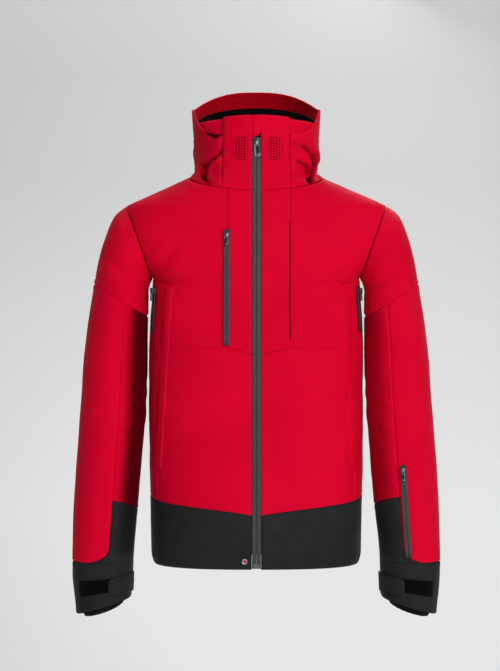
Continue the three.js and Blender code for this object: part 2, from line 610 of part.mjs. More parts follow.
function sleevePieces(name, side) {
  const gap = 0.006; // along the sleeve, in stations
  const around = 0.001;
  const ring = (from, to, rows, segments, inset, thickness) =>
    tube(segments, rows, (u, v, w) => sleeve(u, mix(from, to, v), inset + thickness * (1 - w)));
  const half = (from, to, start, end, rows, across, outset = 0, thickness = FABRIC) =>
    sheet(across, rows, (u, v, w) => sleeve(mix(start, end, u), mix(from, to, v), -outset + thickness * (1 - w)));
  const { top, under } = turns;
  const tabInner = SEAT + FLAP + SEAT;
  const pieces = [
    ["sleeve_head", ring(0.062, place.bicep - gap, 7, 26, 0, FABRIC), RED],
    ["top_sleeve", half(place.bicep + gap, place.cuff - gap, under - 1 + around, top - around, 8, 13), RED],
    ["under_sleeve", half(place.bicep + gap, place.forearm - gap, top + around, under - around, 8, 9), RED],
    ["forearm_panel", half(place.forearm + gap, place.cuff - gap, top + around, under - around, 3, 9), CHARCOAL],
    ["cuff_band", ring(place.cuff + gap, place.hem, 3, 24, 0, FABRIC), CHARCOAL],
    ["gaiter", ring(11.1, 12.12, 2, 24, FABRIC + SEAT, LINING), BLACK],
    ["cuff_patch", half(10.72, 11.32, 0.13, 0.335, 2, 8, SEAT + FLAP, FLAP), RUBBER],
    ["cuff_tab", half(10.5, 11.45, 0.285, 0.475, 2, 7, tabInner + FLAP, FLAP), CHARCOAL],
  ];
  return pieces.map(([piece, geometry, material]) => named(`${piece}_${name}`, mirrored(geometry, side), material));
}

function passZip() {
  const surface = (turn, station) => sleeve(turn, station);
  const top = [0.262, 6.86];
  const bottom = [0.262, 9.76];
  const length = surface(...top).distanceTo(surface(...bottom));
  const group = strapFrame(surface, top, bottom, POCKET_SLIDER.half, behindTape - SEAT / 2);
  return pocketZip("pass", group, length);
}

// ---- Assembly ----------------------------------------------------------------------------------------------
const jacket = new THREE.Group();
jacket.add(...bodyPanels(), ...collarPieces(), ...hoodPieces(), hangLoop(), mainZip(), chestZip());
jacket.add(...pitZips(), stormFlap(), ...welts(), hemSnap(), passZip());
for (const [name, side] of SIDES) jacket.add(...sleevePieces(name, side));
jacket.position.set(0, LOOP.thickness / 2 - loopBack, -LOOP.foot - LOOP.rise);

const object = new THREE.Group();
object.add(jacket);
export default object;
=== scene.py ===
"""A hooded ski jacket hanging on its loop: cloth, seams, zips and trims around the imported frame."""

import json
import math

import bpy
import numpy as np
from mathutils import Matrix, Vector


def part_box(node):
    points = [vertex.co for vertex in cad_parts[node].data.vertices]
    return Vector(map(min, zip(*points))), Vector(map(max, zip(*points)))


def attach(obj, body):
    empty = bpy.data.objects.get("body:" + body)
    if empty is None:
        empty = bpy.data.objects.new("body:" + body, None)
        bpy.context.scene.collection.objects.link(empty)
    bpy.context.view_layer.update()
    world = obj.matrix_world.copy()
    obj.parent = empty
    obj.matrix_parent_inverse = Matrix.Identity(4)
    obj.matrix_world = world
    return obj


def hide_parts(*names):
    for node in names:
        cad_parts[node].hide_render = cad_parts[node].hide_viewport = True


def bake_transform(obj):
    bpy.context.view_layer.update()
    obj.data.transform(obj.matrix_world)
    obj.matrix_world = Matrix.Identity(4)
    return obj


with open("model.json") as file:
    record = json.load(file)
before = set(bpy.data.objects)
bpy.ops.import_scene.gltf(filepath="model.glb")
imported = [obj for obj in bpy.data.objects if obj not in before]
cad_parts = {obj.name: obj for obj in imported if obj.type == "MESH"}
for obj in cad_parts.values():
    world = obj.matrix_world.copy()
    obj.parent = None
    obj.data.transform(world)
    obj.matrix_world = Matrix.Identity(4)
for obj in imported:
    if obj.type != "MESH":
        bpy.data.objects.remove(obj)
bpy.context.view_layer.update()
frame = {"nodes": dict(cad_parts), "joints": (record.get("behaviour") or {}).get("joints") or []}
MM = 0.001

# ---- Driving dimensions, in millimetres, heights from the hem --------------------------------------------
CHEST_HALF = 197
SIDE_LENGTH = 525
FRONT_DEPTH = 136
LEAN = 0.052
BACK_DEPTH = 116
ARMHOLE_RADIUS = 70
ARMHOLE_TILT = math.radians(20)
ARMPIT_INSET = 6.4
NECK_HALF = 114
SHOULDER_SLOPE = 0.439
NECK_DROP = 32
NECK_RISE = 17
COLLAR_HEIGHT = 136
HOOD_RISE = 155
HOOD_BULGE = 64
SLEEVE_LENGTH = 585
HEM_BAND = 93
HEM_BAND_SIDE = 126
FABRIC = 4.2  # shell, membrane and lining together
SEAM = 0.25  # half the gap at a seam
ROUND = 2.6
NECK_ROUND = 2.2
MAIN_ZIP_HALF = 8.1
RIM_STEPS = (0, 0.5, 1.1, 1.9, 3.0, 4.6)  # where a piece's edge rolls over, from its edge

# The frame's sleeve joints turn about the armholes' centres, which fix where the hem lies in the row frame.
armhole_rise = ARMHOLE_RADIUS * math.cos(ARMHOLE_TILT)
armhole_x = CHEST_HALF - ARMPIT_INSET + ARMHOLE_RADIUS * math.sin(ARMHOLE_TILT)
armhole_z = SIDE_LENGTH + armhole_rise
swing = next(j for j in frame["joints"] if j["name"] == "sleeve_swing_left")
ORIGIN = np.array(swing["pos_m"]) - np.array([armhole_x, 0, armhole_z]) * MM

tip_x = armhole_x + ARMHOLE_RADIUS * math.sin(ARMHOLE_TILT)
tip_z = armhole_z + armhole_rise
neck_side = tip_z + (tip_x - NECK_HALF) * SHOULDER_SLOPE
neck_front = neck_side - NECK_DROP
neck_back = neck_side + NECK_RISE
chin_top = neck_front + COLLAR_HEIGHT


# ---- Small helpers ---------------------------------------------------------------------------------------
def mix(a, b, t):
    return a + (b - a) * t


def smooth(x, low, high):
    t = np.clip((x - low) / (high - low), 0, 1)
    return t * t * (3 - 2 * t)


def bell(x, width):
    return np.exp(-((x / width) ** 2))


def along(table, place):
    places, values = zip(*table)
    return np.interp(place, places, values)


def spline(values, t):
    """A smooth curve through values at 0, 1, 2 and so on, straight beyond the last."""
    values = np.asarray(values, float)
    last = len(values) - 1
    i = np.clip(np.floor(t).astype(int), 0, last - 1)
    a, b, c, d = (values[np.clip(i + k, 0, last)] for k in (-1, 0, 1, 2))
    beyond = np.maximum(t - last, 0)
    t = np.minimum(t, last)
    f = t - i
    curve = c - a + f * (2 * a - 5 * b + 4 * c - d + f * (3 * (b - c) + d - a))
    return beyond * (values[-1] - values[-2]) + b + 0.5 * f * curve


def unit(v):
    return v / np.maximum(np.linalg.norm(v, axis=-1, keepdims=True), 1e-9)


def ripple(p, wavelength, seed):
    """Slow waves through space, from -1 to 1."""
    total = 0
    for k in range(4):
        turn = seed * 1.7 + k * 2.4
        direction = np.array([math.cos(turn), 0.6 * math.sin(turn * 1.3), math.sin(turn)])
        total = total + np.sin(p @ direction * 2 * math.pi / (wavelength * (0.8 + 0.23 * k)) + seed * k)
    return total / 4


def row_frame(p):
    return np.asarray(p) * MM + ORIGIN


# ---- The jacket's surfaces -------------------------------------------------------------------------------
def fold(g):
    turn = np.mod(g, 4)
    around = np.where(turn <= 2, turn, 4 - turn)
    side = np.where(turn <= 2, 1.0, -1.0)
    return side, around <= 1, np.where(around <= 1, around, 2 - around)


def section(g, z, half, depth, power, flat=0.0):
    side, front, share = fold(g)
    s = np.sin(share * np.pi / 2) ** power
    c = np.maximum(np.cos(share * np.pi / 2), 0) ** power
    flat_power = mix(power, 1.3, flat / ARMHOLE_RADIUS)
    y = flat + (depth - flat) * (c / (s + c)) ** (1 / flat_power)
    x = side * half * (s / (s + c)) ** (1 / power)
    return np.stack(np.broadcast_arrays(x, np.where(front, -y, y), z), -1)


def front_depth(z):
    return FRONT_DEPTH - LEAN * z


def back_depth(z):
    table = [(0, 0), (0.2, -7), (0.42, -11), (0.62, 2), (0.78, 7), (0.92, -5), (1, -24)]
    return BACK_DEPTH + along(table, z / neck_back)


def half_width(z):
    side = [(0, -9), (16, -4), (230, 0), (SIDE_LENGTH * 0.76, 0), (SIDE_LENGTH, -ARMPIT_INSET)]
    low = CHEST_HALF + along(side, z)
    arm = armhole_x + (z - armhole_z) * math.tan(ARMHOLE_TILT)
    shoulder = tip_x - (z - tip_z) / SHOULDER_SLOPE
    neck = NECK_HALF - 0.9 * (z - neck_side)
    return np.where(z < SIDE_LENGTH, low, np.where(z < tip_z, arm, np.where(z < neck_side, shoulder, neck)))


def armhole_depth(z):
    return ARMHOLE_RADIUS * np.sqrt(np.clip(1 - ((z - armhole_z) / armhole_rise) ** 2, 0, 1))


def body(g, z):
    depth = np.where(fold(g)[1], front_depth(z), back_depth(z))
    return section(g, z, half_width(z), depth, ROUND, armhole_depth(z))


def neckline(g):
    _, front, share = fold(g)
    return mix(np.where(front, neck_front, neck_back), neck_side, np.sin(share * np.pi / 2) ** 1.8)


def collar(g, z):
    depth = np.where(fold(g)[1], front_depth(z), back_depth(neck_back) - 0.03 * (z - neck_back))
    return section(g, z, NECK_HALF - 2 - 0.03 * (z - neck_side), depth, NECK_ROUND)


def rim(g):
    _, front, share = fold(g)
    ends = np.where(front, neck_front + 101, neck_back + HOOD_RISE)
    return mix(ends, neck_side + 124, np.sin(share * np.pi / 2) ** np.where(front, 7, 2.7))


def hood(g, v):
    foot = body(g, neckline(g))
    z = mix(foot[..., 2], rim(g), v)
    bulge = along([(0, 0.02), (0.15, 0.38), (0.35, 0.78), (0.6, 1), (0.8, 0.95), (1, 0.55)], v)
    depth = np.where(fold(g)[1], front_depth(z), back_depth(neck_back) + HOOD_BULGE * bulge)
    half = NECK_HALF + along([(0, 0), (0.3, 1), (0.6, 2), (0.85, 4), (1, 5)], v)
    grown = section(g, z, half, depth, NECK_ROUND)
    share = smooth(v, 0, 0.3)[..., None]
    start = np.concatenate([foot[..., :2], z[..., None]], -1)
    return mix(start, grown, share)


def around_at(x, half, power):
    """Where around a level section of this half width lies x from the centre line."""
    q = np.clip(np.maximum(x, 1e-6) / half, 0, 0.99999) ** power
    return np.arctan((q / (1 - q)) ** (1 / power)) * 2 / np.pi


def on_body(x, z):
    return around_at(x, half_width(z), ROUND)


def on_hood(x, v):
    low, high = np.zeros_like(v), np.ones_like(v)
    for _ in range(26):
        middle = (low + high) / 2
        inside = hood(middle, v)[..., 0] < x
        low, high = np.where(inside, middle, low), np.where(inside, high, middle)
    return (low + high) / 2


def normals(surface, a, b, step_a, step_b):
    across = surface(a + step_a, b) - surface(a - step_a, b)
    up = surface(a, b + step_b) - surface(a, b - step_b)
    return unit(np.cross(across, up))


# ---- Materials -------------------------------------------------------------------------------------------
def linear(r, g, b):
    """A display colour, 0 to 255, as linear light."""
    shares = (r / 255, g / 255, b / 255)
    return tuple((c / 12.92 if c <= 0.04045 else ((c + 0.055) / 1.055) ** 2.4) for c in shares)


class Nodes:
    """A material's node tree, built up by name."""

    def __init__(self, name):
        self.material = bpy.data.materials.new(name)
        self.material.use_nodes = True
        self.tree = self.material.node_tree
        self.shader = self.tree.nodes["Principled BSDF"]

    def add(self, kind, **values):
        node = self.tree.nodes.new(kind)
        for key, value in values.items():
            setattr(node, key, value)
        return node

    def link(self, start, end):
        self.tree.links.new(start, end)

    def math(self, operation, a, b=None):
        node = self.add("ShaderNodeMath", operation=operation)
        for socket, value in zip(node.inputs, (a, b)):
            if value is None:
                continue
            if isinstance(value, (int, float)):
                socket.default_value = value
            else:
                self.link(value, socket)
        return node.outputs[0]

    def noise(self, scale, detail=2.0):
        node = self.add("ShaderNodeTexNoise")
        node.inputs["Scale"].default_value = scale
        node.inputs["Detail"].default_value = detail
        self.link(self.add("ShaderNodeTexCoord").outputs["Object"], node.inputs["Vector"])
        return node.outputs["Fac"]

    def span(self, value, low, high):
        node = self.add("ShaderNodeMapRange")
        node.inputs["From Min"].default_value = 0.3
        node.inputs["From Max"].default_value = 0.7
        node.inputs["To Min"].default_value = low
        node.inputs["To Max"].default_value = high
        self.link(value, node.inputs["Value"])
        return node.outputs["Result"]

    def blend(self, factor, a, b):
        node = self.add("ShaderNodeMix", data_type="RGBA")
        self.link(factor, node.inputs[0])
        for socket, value in ((node.inputs[6], a), (node.inputs[7], b)):
            if isinstance(value, tuple):
                socket.default_value = (*value, 1)
            else:
                self.link(value, socket)
        return node.outputs[2]

    def bump(self, height, distance, strength=1.0, normal=None):
        node = self.add("ShaderNodeBump")
        node.inputs["Strength"].default_value = strength
        node.inputs["Distance"].default_value = distance
        self.link(height, node.inputs["Height"])
        if normal is not None:
            self.link(normal, node.inputs["Normal"])
        return node.outputs["Normal"]

    def finish(self, color, roughness, normal, specular=0.3, tint=None, sheen=0.0, metallic=0.0):
        shader = self.shader
        self.link(color, shader.inputs["Base Color"])
        self.link(roughness, shader.inputs["Roughness"])
        self.link(normal, shader.inputs["Normal"])
        shader.inputs["Specular IOR Level"].default_value = specular
        shader.inputs["Metallic"].default_value = metallic
        if tint:
            shader.inputs["Specular Tint"].default_value = (*tint, 1)
        if sheen:
            shader.inputs["Sheen Weight"].default_value = sheen
            shader.inputs["Sheen Roughness"].default_value = 0.5
            shader.inputs["Sheen Tint"].default_value = (*tint, 1)
        return self.material


WEAR = 0.35  # how far a rubbed edge lightens
DEEP_SHADE = 0.06  # the share of its colour that cloth keeps where the painted shade is deepest


def shades(color, low, high, lift):
    """A colour's darker and lighter neighbours."""
    return tuple(c * low for c in color), tuple(min(c * high + lift, 1) for c in color)


def cloth_material(name, color, thread=1.1, relief=0.00008, variation=0.07, rough=(0.62, 0.76), sheen=0.05,
                   tint=(1, 1, 1), specular=0.12):
    """A plain weave with slow colour variation, edges rubbed a little lighter and painted shade darkening folds,
    the insides of the arms and one hood cheek.
    """
    n = Nodes(name)
    uv = n.add("ShaderNodeUVMap", uv_map="cloth").outputs["UV"]
    split = n.add("ShaderNodeSeparateXYZ")
    n.link(uv, split.inputs[0])
    turns = 2 * math.pi / (thread * MM)
    warp = n.math("SINE", n.math("MULTIPLY", split.outputs["X"], turns))
    weft = n.math("SINE", n.math("MULTIPLY", split.outputs["Y"], turns))
    weave = n.math("MULTIPLY", warp, weft)
    slub = n.noise(900, 3)
    slow = n.noise(7, 3)
    base = n.blend(n.span(slow, 0, 1), *shades(color, 1 - variation, 1 + variation, 0.001))
    threads = n.math("ADD", n.math("MULTIPLY", weave, 0.10), n.span(slub, -0.06, 0.10))
    woven = n.blend(n.math("MAXIMUM", threads, 0.0), base, shades(color, 1, 1.5, 0.003)[1])
    edge = n.add("ShaderNodeAttribute", attribute_name="edge").outputs["Fac"]
    rubbed = n.math("MULTIPLY", n.math("MULTIPLY", edge, n.span(n.noise(160, 4), 0, 1)), WEAR)
    worn_and_painted_shade = n.blend(rubbed, woven, shades(color, 1, 1.35, 0.004)[1])
    # Painted shade: a per-point attribute darkens the colour in folds and on the insides of the arms.
    shade = n.add("ShaderNodeAttribute", attribute_name="shade").outputs["Fac"]
    worn_and_painted_shade = n.blend(shade, worn_and_painted_shade, shades(color, DEEP_SHADE, 1, 0)[0])
    roughness = n.span(n.noise(45, 3), *rough)
    crinkle = n.bump(n.noise(150, 4), 0.0004, 0.22)
    normal = n.bump(weave, relief, 0.7, crinkle)
    return n.finish(worn_and_painted_shade, roughness, normal, specular, tint, sheen)


def moulded_material(name, color, rough=(0.4, 0.55), grain=700, specular=0.4, metallic=0.0, scratch=0.0002):
    """Moulded, coated or cast surfaces: fine grain, worn shine and small scratches."""
    n = Nodes(name)
    slow = n.noise(60, 3)
    base = n.blend(n.span(slow, 0, 1), *shades(color, 0.85, 1.2, 0.002))
    fine = n.noise(grain, 4)
    speck = n.blend(n.span(fine, 0, 0.35), base, shades(color, 1, 1.6, 0.01)[1])
    roughness = n.span(n.noise(300, 4), *rough)
    return n.finish(speck, roughness, n.bump(fine, scratch, 0.35), specular, metallic=metallic)


RED = linear(214, 2, 42)
RED_TINT = (1.0, 0.10, 0.16)
CHARCOAL = linear(29, 29, 29)
shell_red = cloth_material("shell red", RED, tint=RED_TINT)
# The hood's inside is the shell red painted darker: painted shade inside the hood.
inside_red_painted_shade = cloth_material("hood inside red painted shade", linear(176, 2, 28), 1.6, rough=(0.75, 0.88), tint=RED_TINT)
shell_charcoal = cloth_material("shell charcoal", CHARCOAL, 1.3, variation=0.16, sheen=0.04, specular=0.16)
lining_black = cloth_material("lining black", linear(15, 15, 16), 1.8, variation=0.2, rough=(0.8, 0.92),
                              specular=0.1)
fleece_black = cloth_material("brushed black", linear(5, 5, 6), 2.2, 0.0003, 0.3, (0.9, 0.97), 0.03,
                              specular=0.04)
rib_black = cloth_material("gaiter knit", linear(14, 14, 15), 2.0, 0.0004, 0.2, (0.85, 0.95))
webbing_black = cloth_material("loop webbing", linear(22, 22, 24), 0.9, 0.0002, 0.2)
tape_grey = moulded_material("laminated zip tape", linear(46, 46, 47), rough=(0.45, 0.6), specular=0.35)
coil_black = moulded_material("zip coil", linear(16, 16, 17), rough=(0.3, 0.45))
metal_dark = moulded_material("gunmetal", linear(88, 92, 96), rough=(0.28, 0.42), metallic=0.85)
metal_light = moulded_material("brushed steel", linear(140, 142, 146), rough=(0.25, 0.4), metallic=1.0)
rubber_black = moulded_material("patch rubber", linear(9, 9, 10), rough=(0.55, 0.7), grain=1200,
                                scratch=0.0004)
enamel_red = moulded_material("snap enamel", linear(190, 6, 38), rough=(0.3, 0.4))
thread_red = moulded_material("red thread", linear(186, 3, 38), rough=(0.7, 0.85), grain=2500, specular=0.1)
thread_black = moulded_material("black thread", linear(26, 26, 27), rough=(0.7, 0.85), grain=2500,
                                specular=0.1)
# Black discs for the chin guard's holes: painted shade standing in for the holes' dark insides.
hole_painted_shade = moulded_material("perforation", linear(4, 4, 4), rough=(0.85, 0.95), specular=0.0)


# ---- Meshes ----------------------------------------------------------------------------------------------
def place_object(name, verts, faces, materials, indices=None, uvs=None, edge=None, body_name=None,
                 hides=()):
    """A mesh from points in the row frame, facing outwards, riding on its body."""
    verts = np.asarray(verts, float)
    faces = [tuple(f) for f in faces]
    centre = verts.mean(0)
    volume = 0.0
    for f in faces:
        p = verts[list(f)] - centre
        for k in range(1, len(f) - 1):
            volume += float(np.dot(p[0], np.cross(p[k], p[k + 1])))
    if volume < 0:
        faces = [f[::-1] for f in faces]
        if uvs is not None:
            uvs = [u[::-1] for u in uvs]
    mesh = bpy.data.meshes.new(name)
    mesh.from_pydata(verts.tolist(), [], faces)
    if uvs is not None:
        layer = mesh.uv_layers.new(name="cloth")
        layer.data.foreach_set("uv", np.asarray(uvs, np.float32).ravel())
    if edge is not None:
        attribute = mesh.attributes.new("edge", "FLOAT", "POINT")
        attribute.data.foreach_set("value", np.asarray(edge, np.float32).ravel())
    for material in materials:
        mesh.materials.append(material)
    if indices is not None:
        mesh.polygons.foreach_set("material_index", np.asarray(indices, np.int32))
    mesh.polygons.foreach_set("use_smooth", np.ones(len(faces), bool))
    mesh.update()
    obj = bpy.data.objects.new(name, mesh)
    bpy.context.scene.collection.objects.link(obj)
    if body_name:
        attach(obj, body_name)
    if hides:
        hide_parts(*hides)
    return obj


def ring_faces(first, rings, sides):
    """The faces of a closed tube of rings of points, with a cap on its first and its last ring."""
    faces = []
    for r in range(rings - 1):
        for c in range(sides):
            p, q = first + r * sides + c, first + r * sides + (c + 1) % sides
            faces.append((p, q, q + sides, p + sides))
    last = first + (rings - 1) * sides
    return faces + [tuple(range(first + sides - 1, first - 1, -1)), tuple(range(last, last + sides))]


def spaced(length, pitch, extra=()):
    """Places from 0 to 1 along a length, closer at its two ends and about the extra distances."""
    steps = np.array(RIM_STEPS)
    if length < 4 * steps[-1]:
        return np.linspace(0, 1, 9)
    count = max(int(length / pitch), 2)
    places = [steps, length - steps, np.linspace(steps[-1] + 2, length - steps[-1] - 2, count)]
    for distance in extra:
        places.append(distance + np.array([-1.6, -0.8, 0, 0.8, 1.6]))
    places = np.sort(np.concatenate(places)) / length
    keep = np.concatenate([[True], np.diff(places) > 0.25 / length])
    places = places[keep]
    places[0], places[-1] = 0, 1
    return places


def run_lengths(grid, axis):
    steps = np.linalg.norm(np.diff(grid, axis=axis), axis=-1)
    return np.insert(np.cumsum(steps, axis=axis), 0, 0, axis=axis)


def cloth(name, surface, a, b, side=1, outer=0.0, thickness=FABRIC, closed_around=False, relief=None,
          grooves=(), roll=1.25, pucker=0.28, materials=None, body_name="shell", slot="red_shell", hides=None,
          step=(0.004, 1.0), wave=0.5, plain=None, sag=None, rim_kind=0, shade=None):
    """A closed sheet of cloth over a grid of places (a, b) on a surface, with rolled and puckered edges.

    relief(point) gives how far a point stands out, and sag(point) how far it hangs down. grooves lists
    (edge, distance, depth) of sewn channels. shade, from 0 to 1, is how much painted shade darkens a place's
    colour.
    plain is (edge, test): the edge has no seam where the test holds."""
    base = surface(a, b)
    normal = normals(surface, a, b, *step)
    rows, columns = base.shape[:2]
    flip = np.array([side, 1, 1])
    place = base * flip

    def around(grid):
        return np.concatenate([grid, grid[:, :1]], 1) if closed_around else grid

    run_a, run_b = run_lengths(around(base), 1), run_lengths(base, 0)
    from_ends = {
        "low": run_b, "high": run_b[-1:] - run_b,
        "start": run_a[:, :columns], "end": run_a[:, -1:] - run_a[:, :columns],
    }
    sides = ("low", "high") if closed_around else ("low", "high", "start", "end")
    reach = dict(from_ends)
    if plain is not None:
        edge_name, test = plain
        reach[edge_name] = reach[edge_name] + 99 * (test(base) if callable(test) else test)
    near = np.minimum.reduce([reach[k] for k in sides])
    lift = -roll * bell(near, 2.0) + 0.30 * bell(near - 6, 4)
    length_along = run_a[:, :columns] + run_b
    waves = np.sin(length_along * 2 * math.pi / 13 + ripple(base, 60, 3) * 2)
    lift = lift + pucker * bell(near - 2, 7) * waves
    for edge_name, distance, depth in grooves:
        lift = lift - depth * bell(from_ends[edge_name] - distance, 1.0)
    lift = lift + wave * ripple(base, 95, 1.3) * smooth(near, 2, 30)
    if relief is not None:
        lift = lift + relief(place) * smooth(near, 0.5, 9)
    out = base + normal * (outer + lift)[..., None]
    back = base + normal * (outer - thickness + 0.85 * (lift + roll * bell(near, 2.0)))[..., None]
    out, back = out * flip, back * flip
    if sag is not None:
        drop = (sag(place) * smooth(near, 0.5, 9))[..., None] * np.array([0, 0, 1])
        out, back = out - drop, back - drop
    verts = row_frame(np.concatenate([out.reshape(-1, 3), back.reshape(-1, 3)]))
    shift = rows * columns
    index = around(np.arange(shift).reshape(rows, columns))
    uv = np.stack([run_a, around(run_b)], -1) * MM
    corners = [(slice(-1), slice(-1)), (slice(-1), slice(1, None)),
               (slice(1, None), slice(1, None)), (slice(1, None), slice(-1))]
    top = np.stack([index[c].ravel() for c in corners], -1)
    top_uv = np.stack([uv[c].reshape(-1, 2) for c in corners], 1)
    faces, uvs = [top, top[:, ::-1] + shift], [top_uv, top_uv[:, ::-1]]
    kinds = [np.zeros(len(top)), np.ones(len(top))]
    rims = [(index[0], uv[0], 1), (index[-1], uv[-1], -1)]
    if not closed_around:
        rims += [(index[:, 0], uv[:, 0], -1), (index[:, -1], uv[:, -1], 1)]
    deep = [0, thickness * MM]
    for line, line_uv, order in rims:
        p, q, uv_p, uv_q = line[:-1], line[1:], line_uv[:-1], line_uv[1:]
        faces.append(np.stack([q, p, p + shift, q + shift], -1)[:, ::order])
        uvs.append(np.stack([uv_q, uv_p, uv_p + deep, uv_q + deep], 1)[:, ::order])
        kinds.append(np.full(len(p), rim_kind))
    edge = np.concatenate([bell(near, 2.4).ravel()] * 2)
    obj = place_object(
        f"{name}_cloth", verts, np.concatenate(faces).tolist(), materials or [shell_red, lining_black],
        np.concatenate(kinds), np.concatenate(uvs), edge, body_name, [name] if hides is None else hides)
    # Painted shade, stored per point for the cloth material to darken its colour.
    if shade is not None:
        depth = shade(place) if callable(shade) else shade
        layer = obj.data.attributes.new("shade", "FLOAT", "POINT")
        layer.data.foreach_set("value", np.concatenate([depth.ravel()] * 2).astype(np.float32))
    GRIDS[name] = {"out": out, "normal": normal * flip, "from": from_ends, "body": body_name,
                   "around": closed_around}
    return obj


GRIDS = {}
STITCH = {"length": 2.5, "gap": 1.1, "radius": 0.30, "sink": 0.05}


def stitches(name, lines, material):
    """Rows of single stitches. Each line is (points, normals, body), with its points in hem millimetres."""
    for body_name in sorted({line[2] for line in lines}):
        verts, faces = [], []
        for points, outward, where in lines:
            if where != body_name or len(points) < 2:
                continue
            run = run_lengths(points, 0)
            total = run[-1]
            pitch = STITCH["length"] + STITCH["gap"]
            starts = np.arange(0.8, total - STITCH["length"], pitch)
            for begin in starts:
                place = begin + STITCH["length"] * np.array([0, 0.2, 0.8, 1])
                centre = np.stack([np.interp(place, run, points[:, k]) for k in range(3)], -1)
                normal = unit(np.stack([np.interp(place, run, outward[:, k]) for k in range(3)], -1))
                tangent = unit(centre[-1] - centre[0])
                across = np.cross(tangent, normal)
                swell = STITCH["radius"] * np.array([0.35, 1, 1, 0.35])
                lift = np.array([-0.25, STITCH["sink"], STITCH["sink"], -0.25])
                first = len(verts)
                for k in range(4):
                    middle = centre[k] + normal[k] * lift[k]
                    for angle in np.arange(5) * 2 * math.pi / 5:
                        spoke = math.cos(angle) * across[k] + math.sin(angle) * normal[k]
                        verts.append(middle + swell[k] * spoke)
                faces += ring_faces(first, 4, 5)
        if verts:
            place_object(f"{name}_{body_name}", row_frame(np.array(verts)), faces, [material],
                         body_name=body_name)


def edge_line(name, edge, distance):
    """The line a stitch row follows: this far in from one edge of a piece of cloth."""
    grid = GRIDS[name]
    out, normal, reach = grid["out"], grid["normal"], grid["from"][edge]
    across = edge in ("start", "end")
    if not across:
        out, normal, reach = np.swapaxes(out, 0, 1), np.swapaxes(normal, 0, 1), reach.T
    points, outward = [], []
    for row, direction, run in zip(out, normal, reach):
        order = np.argsort(run)
        points.append([np.interp(distance, run[order], row[order, k]) for k in range(3)])
        outward.append([np.interp(distance, run[order], direction[order, k]) for k in range(3)])
    points, outward = np.array(points), np.array(outward)
    if grid["around"] and not across:
        points, outward = np.vstack([points, points[:1]]), np.vstack([outward, outward[:1]])
    return points, unit(outward), grid["body"]


def grid_of(from_line, to_line, levels, width, heights, pitch=5.0, extra_a=(), extra_b=()):
    """Places on the body between two lines around it and between two or more levels."""
    u = spaced(width, pitch, extra_a)
    total = sum(heights)
    v = spaced(total, pitch, extra_b)
    borders = np.concatenate([[0], np.cumsum(heights)]) / total
    v = np.sort(np.unique(np.concatenate([v, borders])))
    u, v = np.meshgrid(u, v)
    level = np.clip(np.searchsorted(borders, v, side="right") - 1, 0, len(heights) - 1)
    share = (v - borders[level]) / (borders[level + 1] - borders[level])
    g = np.full_like(u, 1.0)
    z = np.zeros_like(u)
    for _ in range(8):
        values = np.stack([line(g) * np.ones_like(g) for line in levels])
        low = np.take_along_axis(values, level[None], 0)[0]
        high = np.take_along_axis(values, level[None] + 1, 0)[0]
        z = mix(low, high, share)
        g = mix(from_line(z), to_line(z), u)
    return g, z


# ---- Folds and creases -----------------------------------------------------------------------------------
def crease(p, line, width, depth, front=True, lip=0.4):
    """How a fold along a line of (x, z) places pushes a point in, with its lip standing out above it."""
    flat = p[..., [0, 2]]
    nearest = np.full(p.shape[:-1], 1e9)
    fade = np.zeros(p.shape[:-1])
    line = np.asarray(line, float)
    lengths = np.linalg.norm(np.diff(line, axis=0), axis=1)
    total, done = lengths.sum(), 0.0
    for start, end, length in zip(line[:-1], line[1:], lengths):
        direction = (end - start) / length
        t = np.clip((flat - start) @ direction, 0, length)
        distance = np.linalg.norm(flat - (start + t[..., None] * direction), axis=-1)
        closer = distance < nearest
        nearest = np.where(closer, distance, nearest)
        place = (done + t) / total
        fade = np.where(closer, np.sin(np.pi * np.clip(0.12 + 0.76 * place, 0, 1)) ** 0.7, fade)
        done += length
    sunk = -depth * bell(nearest, width)
    raised = lip * depth * bell(nearest - 2.1 * width, 1.3 * width)
    visible = (p[..., 1] < 0) == front
    return np.where(visible, (sunk + raised) * fade, 0.0)


def mirrored(p, folds):
    """The same folds on both sides, each (line, width, depth, in front)."""
    lift = 0
    for side in (-1, 1):
        for line, width, depth, front in folds:
            lift = lift + crease(p, [(side * x, z) for x, z in line], width, depth, front)
    return lift


BODY_FOLDS = [
    ([(190, 520), (168, 548), (140, 590)], 9, 2.2, True),
    ([(188, 500), (176, 452), (172, 400)], 10, 2.0, True),
    ([(186, 330), (150, 292), (118, 280)], 13, 1.2, True),
    ([(182, 210), (138, 236), (100, 238)], 15, 1.1, True),
    ([(176, 480), (120, 430), (60, 420)], 14, 1.6, False),
    ([(180, 300), (120, 262), (50, 258)], 16, 1.8, False),
    ([(150, 640), (110, 660), (80, 690)], 12, 1.4, False),
]


def body_relief(p):
    lift = 1.0 * ripple(p, 240, 0.7) + mirrored(p, BODY_FOLDS)
    zip_wave = bell(np.abs(p[..., 0]) - 26, 9) * (p[..., 1] < 0) * smooth(p[..., 2], 120, 200)
    return lift + 1.3 * zip_wave * ripple(p, 180, 2.1)


def hem_relief(p):
    lift = 0.8 * ripple(p, 170, 1.9)
    lift = lift + crease(p, [(92, 68), (118, 50), (146, 26)], 5, 3.0)
    lift = lift + crease(p, [(-60, 60), (-96, 44), (-130, 40)], 8, 1.2)
    lift = lift + crease(p, [(-128, 96), (-150, 60), (-160, 20)], 8, 1.4)
    return lift


